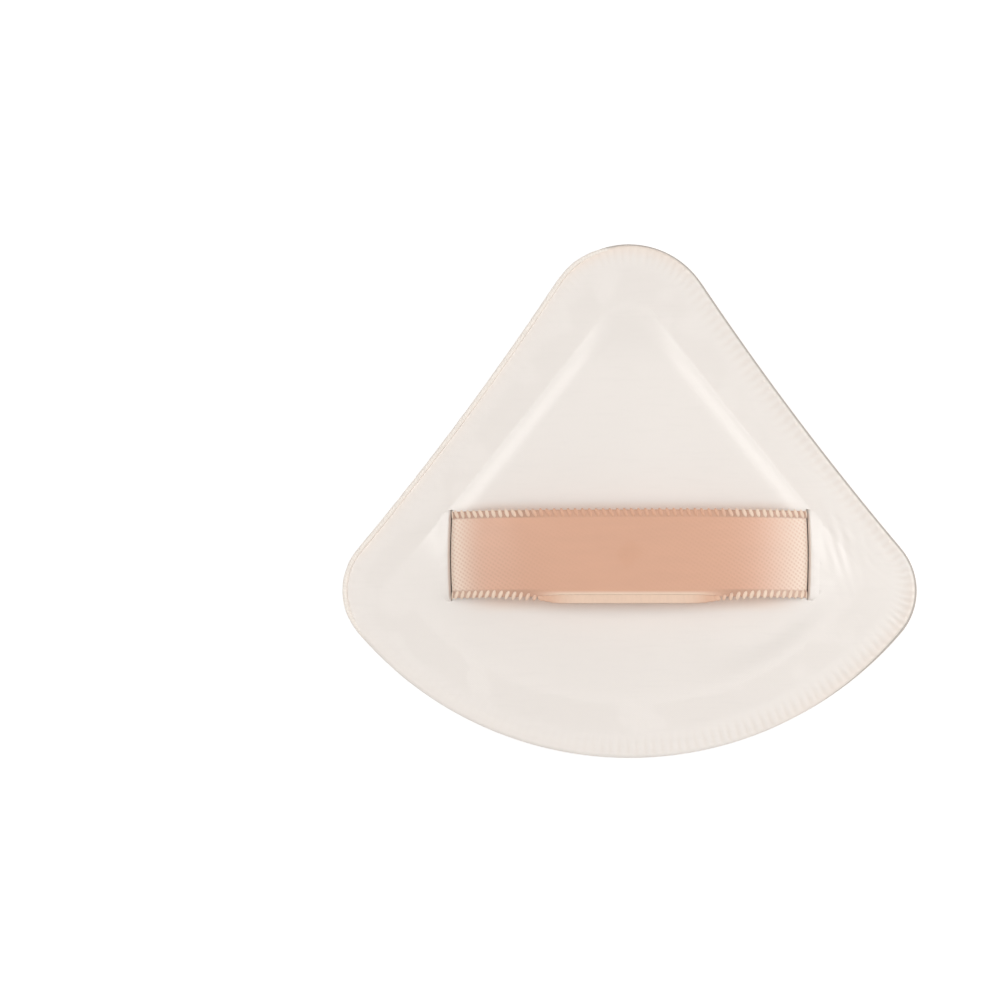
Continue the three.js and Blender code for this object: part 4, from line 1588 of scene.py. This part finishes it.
def loops_tree():
    """Small slanting thread loops, set along a ribbon's edge.

    Along the middle of its lower edge they are long and flat, and run together.
    """
    lengths = ("Pitch", "Loop length", "Loop width", "Loop height")
    g = Shape("Ribbon loops", lengths, ("Slant", "Side"))
    inputs = {"Curve": g.geometry(), "Length": g["Pitch"]}
    dots = g.node("GeometryNodeCurveToPoints", inputs, mode="LENGTH")
    ball = g.node("GeometryNodeMeshUVSphere", {"Segments": 10, "Rings": 6, "Radius": 0.5})
    size = g.vector(g["Loop width"], g["Loop length"], g["Loop height"])
    sized = g.node("GeometryNodeTransform", {"Geometry": ball.outputs[0], "Scale": size})
    x, _, _ = g.position()
    upper = g["Side"].step(-0.5, 0.5)
    apart = (x.size().step(9.5 * MM, 13 * MM) + upper).held()
    narrow = 1.0 - x.size().bell(11.8 * MM, 1.6 * MM) * (1.0 - upper) * 0.4
    varied = g.node("FunctionNodeRandomValue", {"Seed": g["Seed"]}, data_type="FLOAT")
    for name, value in (("Min", -0.14), ("Max", 0.14)):
        typed(varied.inputs, name, "VALUE").default_value = value
    lean = (g["Slant"] + g.number(typed(varied.outputs, "Value", "VALUE"))) * apart
    turned = g.node("FunctionNodeAxisAngleToRotation", {"Axis": (0, 0, 1), "Angle": lean})
    inputs = {"Vector": dots.outputs["Tangent"]}
    aligned = g.node("FunctionNodeAlignRotationToVector", inputs, axis="X", pivot_axis="Y")
    inputs = {"Rotation": aligned.outputs[0], "Rotate By": turned.outputs[0]}
    both = g.node("FunctionNodeRotateRotation", inputs, rotation_space="LOCAL")
    inputs = {
        "Points": dots.outputs["Points"],
        "Instance": sized.outputs[0],
        "Rotation": both.outputs[0],
        "Scale": g.vector(4.6 - apart * 3.6, narrow, apart * 0.7 + 0.3),
    }
    return g.end(g.node("GeometryNodeInstanceOnPoints", inputs).outputs[0])


class POWDERPUFF_OT_tail_patches(PuffPieces, bpy.types.Operator):
    """Make the fusible patch under each tail of the ribbon"""

    bl_idname = "powderpuff.tail_patches"
    bl_label = "Tail patches"

    def execute(self, context):
        settings = context.scene.powder_puff
        material = adhesive_finish(settings)
        for node in ("tail_patch_right", "tail_patch_left"):
            low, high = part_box(node)
            piece = self.patch(node.replace("tail_patch", "fusible_patch"), low, high, material)
            declare(piece, "adhesive", node)
        return {"FINISHED"}

    def patch(self, name, low, high, material):
        """A flat piece in a box, with round corners and a small bevel."""
        radius, bevel = 1.2 * MM, 0.08 * MM
        right, left, back, front = high.x - radius, low.x + radius, high.y - radius, low.y + radius
        centres = np.array([(right, back), (left, back), (left, front), (right, front)])
        starts = np.arange(4) * math.pi / 2
        rings = []
        section = ((bevel, low.z), (0, low.z + bevel), (0, high.z - bevel), (bevel, high.z))
        for inset, height in section:
            corners = [
                arc(centre, radius - inset, start, start + math.pi / 2, 12)
                for centre, start in zip(centres, starts)
            ]
            rings.append(level(np.concatenate(corners), height))
        middle = (low + high) / 2
        points, faces = skin(rings, (middle.x, middle.y, low.z), (middle.x, middle.y, high.z))
        return build_mesh(name, points, faces, material)


def soft_light(name, place, size, power, tint):
    """A rectangular soft light that faces the puff."""
    light = bpy.data.lights.new(name, "AREA")
    light.shape = "RECTANGLE"
    light.size, light.size_y = size
    light.energy = power
    light.color = tint
    lamp = bpy.data.objects.new(name, light)
    lamp.location = place
    lamp.rotation_euler = (Vector(LIGHT_AIM) - Vector(place)).to_track_quat("-Z", "Y").to_euler()
    bpy.context.scene.collection.objects.link(lamp)
    return lamp


class POWDERPUFF_OT_stage(PuffPieces, bpy.types.Operator):
    """Make the floor, the lights and the camera"""

    bl_idname = "powderpuff.stage"
    bl_label = "Stage"

    def execute(self, context):
        scene = context.scene
        studio = scene.powder_puff.studio
        self.floor()
        self.world(scene, studio)
        for name, (place, size, tint) in LIGHTS.items():
            lamp = soft_light(f"light_{name}", place, size, getattr(studio, name), tint)
            lamp.visible_glossy = name != "top"
            lamp.visible_diffuse = not name.startswith("back")
        self.camera(scene, studio)
        scene.view_settings.view_transform = "Standard"
        return {"FINISHED"}

    def floor(self):
        """A floor that looks white where it is seen, keeps its shadow and sends grey light back."""
        half, low = 1.5, -0.1 * MM
        corners = [(-half, -half, low), (half, -half, low), (half, half, low), (-half, half, low)]
        piece = build_mesh("floor", corners, [(0, 1, 2, 3)])
        material = bpy.data.materials.new("Pale floor")
        material.use_nodes = True
        tree = material.node_tree
        tree.nodes.clear()
        g = Graph(tree)
        matt = g.node("ShaderNodeBsdfDiffuse", {"Color": (0.8, 0.8, 0.8, 1)})
        pale = g.node("ShaderNodeBsdfDiffuse", {"Color": (0.4, 0.4, 0.4, 1)})
        glow = g.node("ShaderNodeEmission", {"Color": (1, 1, 1, 1), "Strength": 0.78})
        path = g.node("ShaderNodeLightPath")
        seen = g.number(path.outputs["Is Camera Ray"])
        mirrored = g.number(path.outputs["Is Glossy Ray"])
        through = g.number(path.outputs["Is Transmission Ray"])
        shown = (seen + mirrored + through).held()
        both = g.node("ShaderNodeAddShader", {0: pale.outputs[0], 1: glow.outputs[0]})
        mixed = g.node("ShaderNodeMixShader", {0: shown, 1: matt.outputs[0], 2: both.outputs[0]})
        g.node("ShaderNodeOutputMaterial", {0: mixed.outputs[0]})
        piece.data.materials.append(material)

    def world(self, scene, studio):
        world = bpy.data.worlds.new("Studio")
        scene.world = world
        world.use_nodes = True
        world.node_tree.nodes.clear()
        g = Graph(world.node_tree)
        path = g.node("ShaderNodeLightPath")
        seen = g.number(path.outputs["Is Camera Ray"])
        strength = studio.world + seen * (1.0 - studio.world)
        glow = g.node("ShaderNodeBackground", {"Color": (1, 1, 1, 1), "Strength": strength})
        g.node("ShaderNodeOutputWorld", {0: glow.outputs[0]})

    def camera(self, scene, studio):
        camera = bpy.data.cameras.new("camera")
        camera.lens = studio.lens
        camera.sensor_width = 36
        holder = bpy.data.objects.new("camera", camera)
        scene.collection.objects.link(holder)
        distance = studio.frame_width * camera.lens / camera.sensor_width
        aim = Vector((studio.aim_x, studio.aim_y, FACE_HIGH.z))
        flat = math.cos(studio.elevation)
        away_x, away_y = math.sin(studio.azimuth) * flat, -math.cos(studio.azimuth) * flat
        away = Vector((away_x, away_y, math.sin(studio.elevation)))
        holder.location = Vector((0, 0, FACE_HIGH.z)) + away * distance
        towards = (holder.location - aim).normalized()
        sideways = Vector((0, 1, 0)).cross(towards).normalized()
        upwards = towards.cross(sideways)
        holder.rotation_euler = Matrix((sideways, upwards, towards)).transposed().to_euler()
        camera.clip_start, camera.clip_end = 0.01, 20
        scene.camera = holder


PIECES = (
    POWDERPUFF_OT_velour_face,
    POWDERPUFF_OT_foam,
    POWDERPUFF_OT_satin_back,
    POWDERPUFF_OT_edge_piping,
    POWDERPUFF_OT_finger_ribbon,
    POWDERPUFF_OT_tail_patches,
    POWDERPUFF_OT_stage,
)


class POWDERPUFF_PT_sidebar(bpy.types.Panel):
    """Sizes, colours and operators of the powder puff"""

    bl_idname = "POWDERPUFF_PT_sidebar"
    bl_label = "Powder puff"
    bl_space_type = "VIEW_3D"
    bl_region_type = "UI"
    bl_category = "Powder puff"

    def draw(self, context):
        settings = context.scene.powder_puff
        layout = self.layout
        for part in ("puff", "back", "ribbon", "colours", "studio"):
            group = getattr(settings, part)
            box = layout.box()
            for entry in group.bl_rna.properties:
                if entry.identifier not in ("rna_type", "name"):
                    box.prop(group, entry.identifier)
        layout.prop(settings, "seed")
        for piece in PIECES:
            layout.operator(piece.bl_idname)


CLASSES = (
    PuffShape,
    BackShape,
    RibbonShape,
    PuffColours,
    StudioShape,
    PuffSettings,
    *PIECES,
    POWDERPUFF_PT_sidebar,
)


def register():
    for entry in CLASSES:
        bpy.utils.register_class(entry)
    bpy.types.Scene.powder_puff = PointerProperty(type=PuffSettings)


def unregister():
    del bpy.types.Scene.powder_puff
    for entry in reversed(CLASSES):
        bpy.utils.unregister_class(entry)


def main():
    register()
    for piece in PIECES:
        group, name = piece.bl_idname.split(".")
        getattr(getattr(bpy.ops, group), name)()


if __name__ == "__main__":
    main()
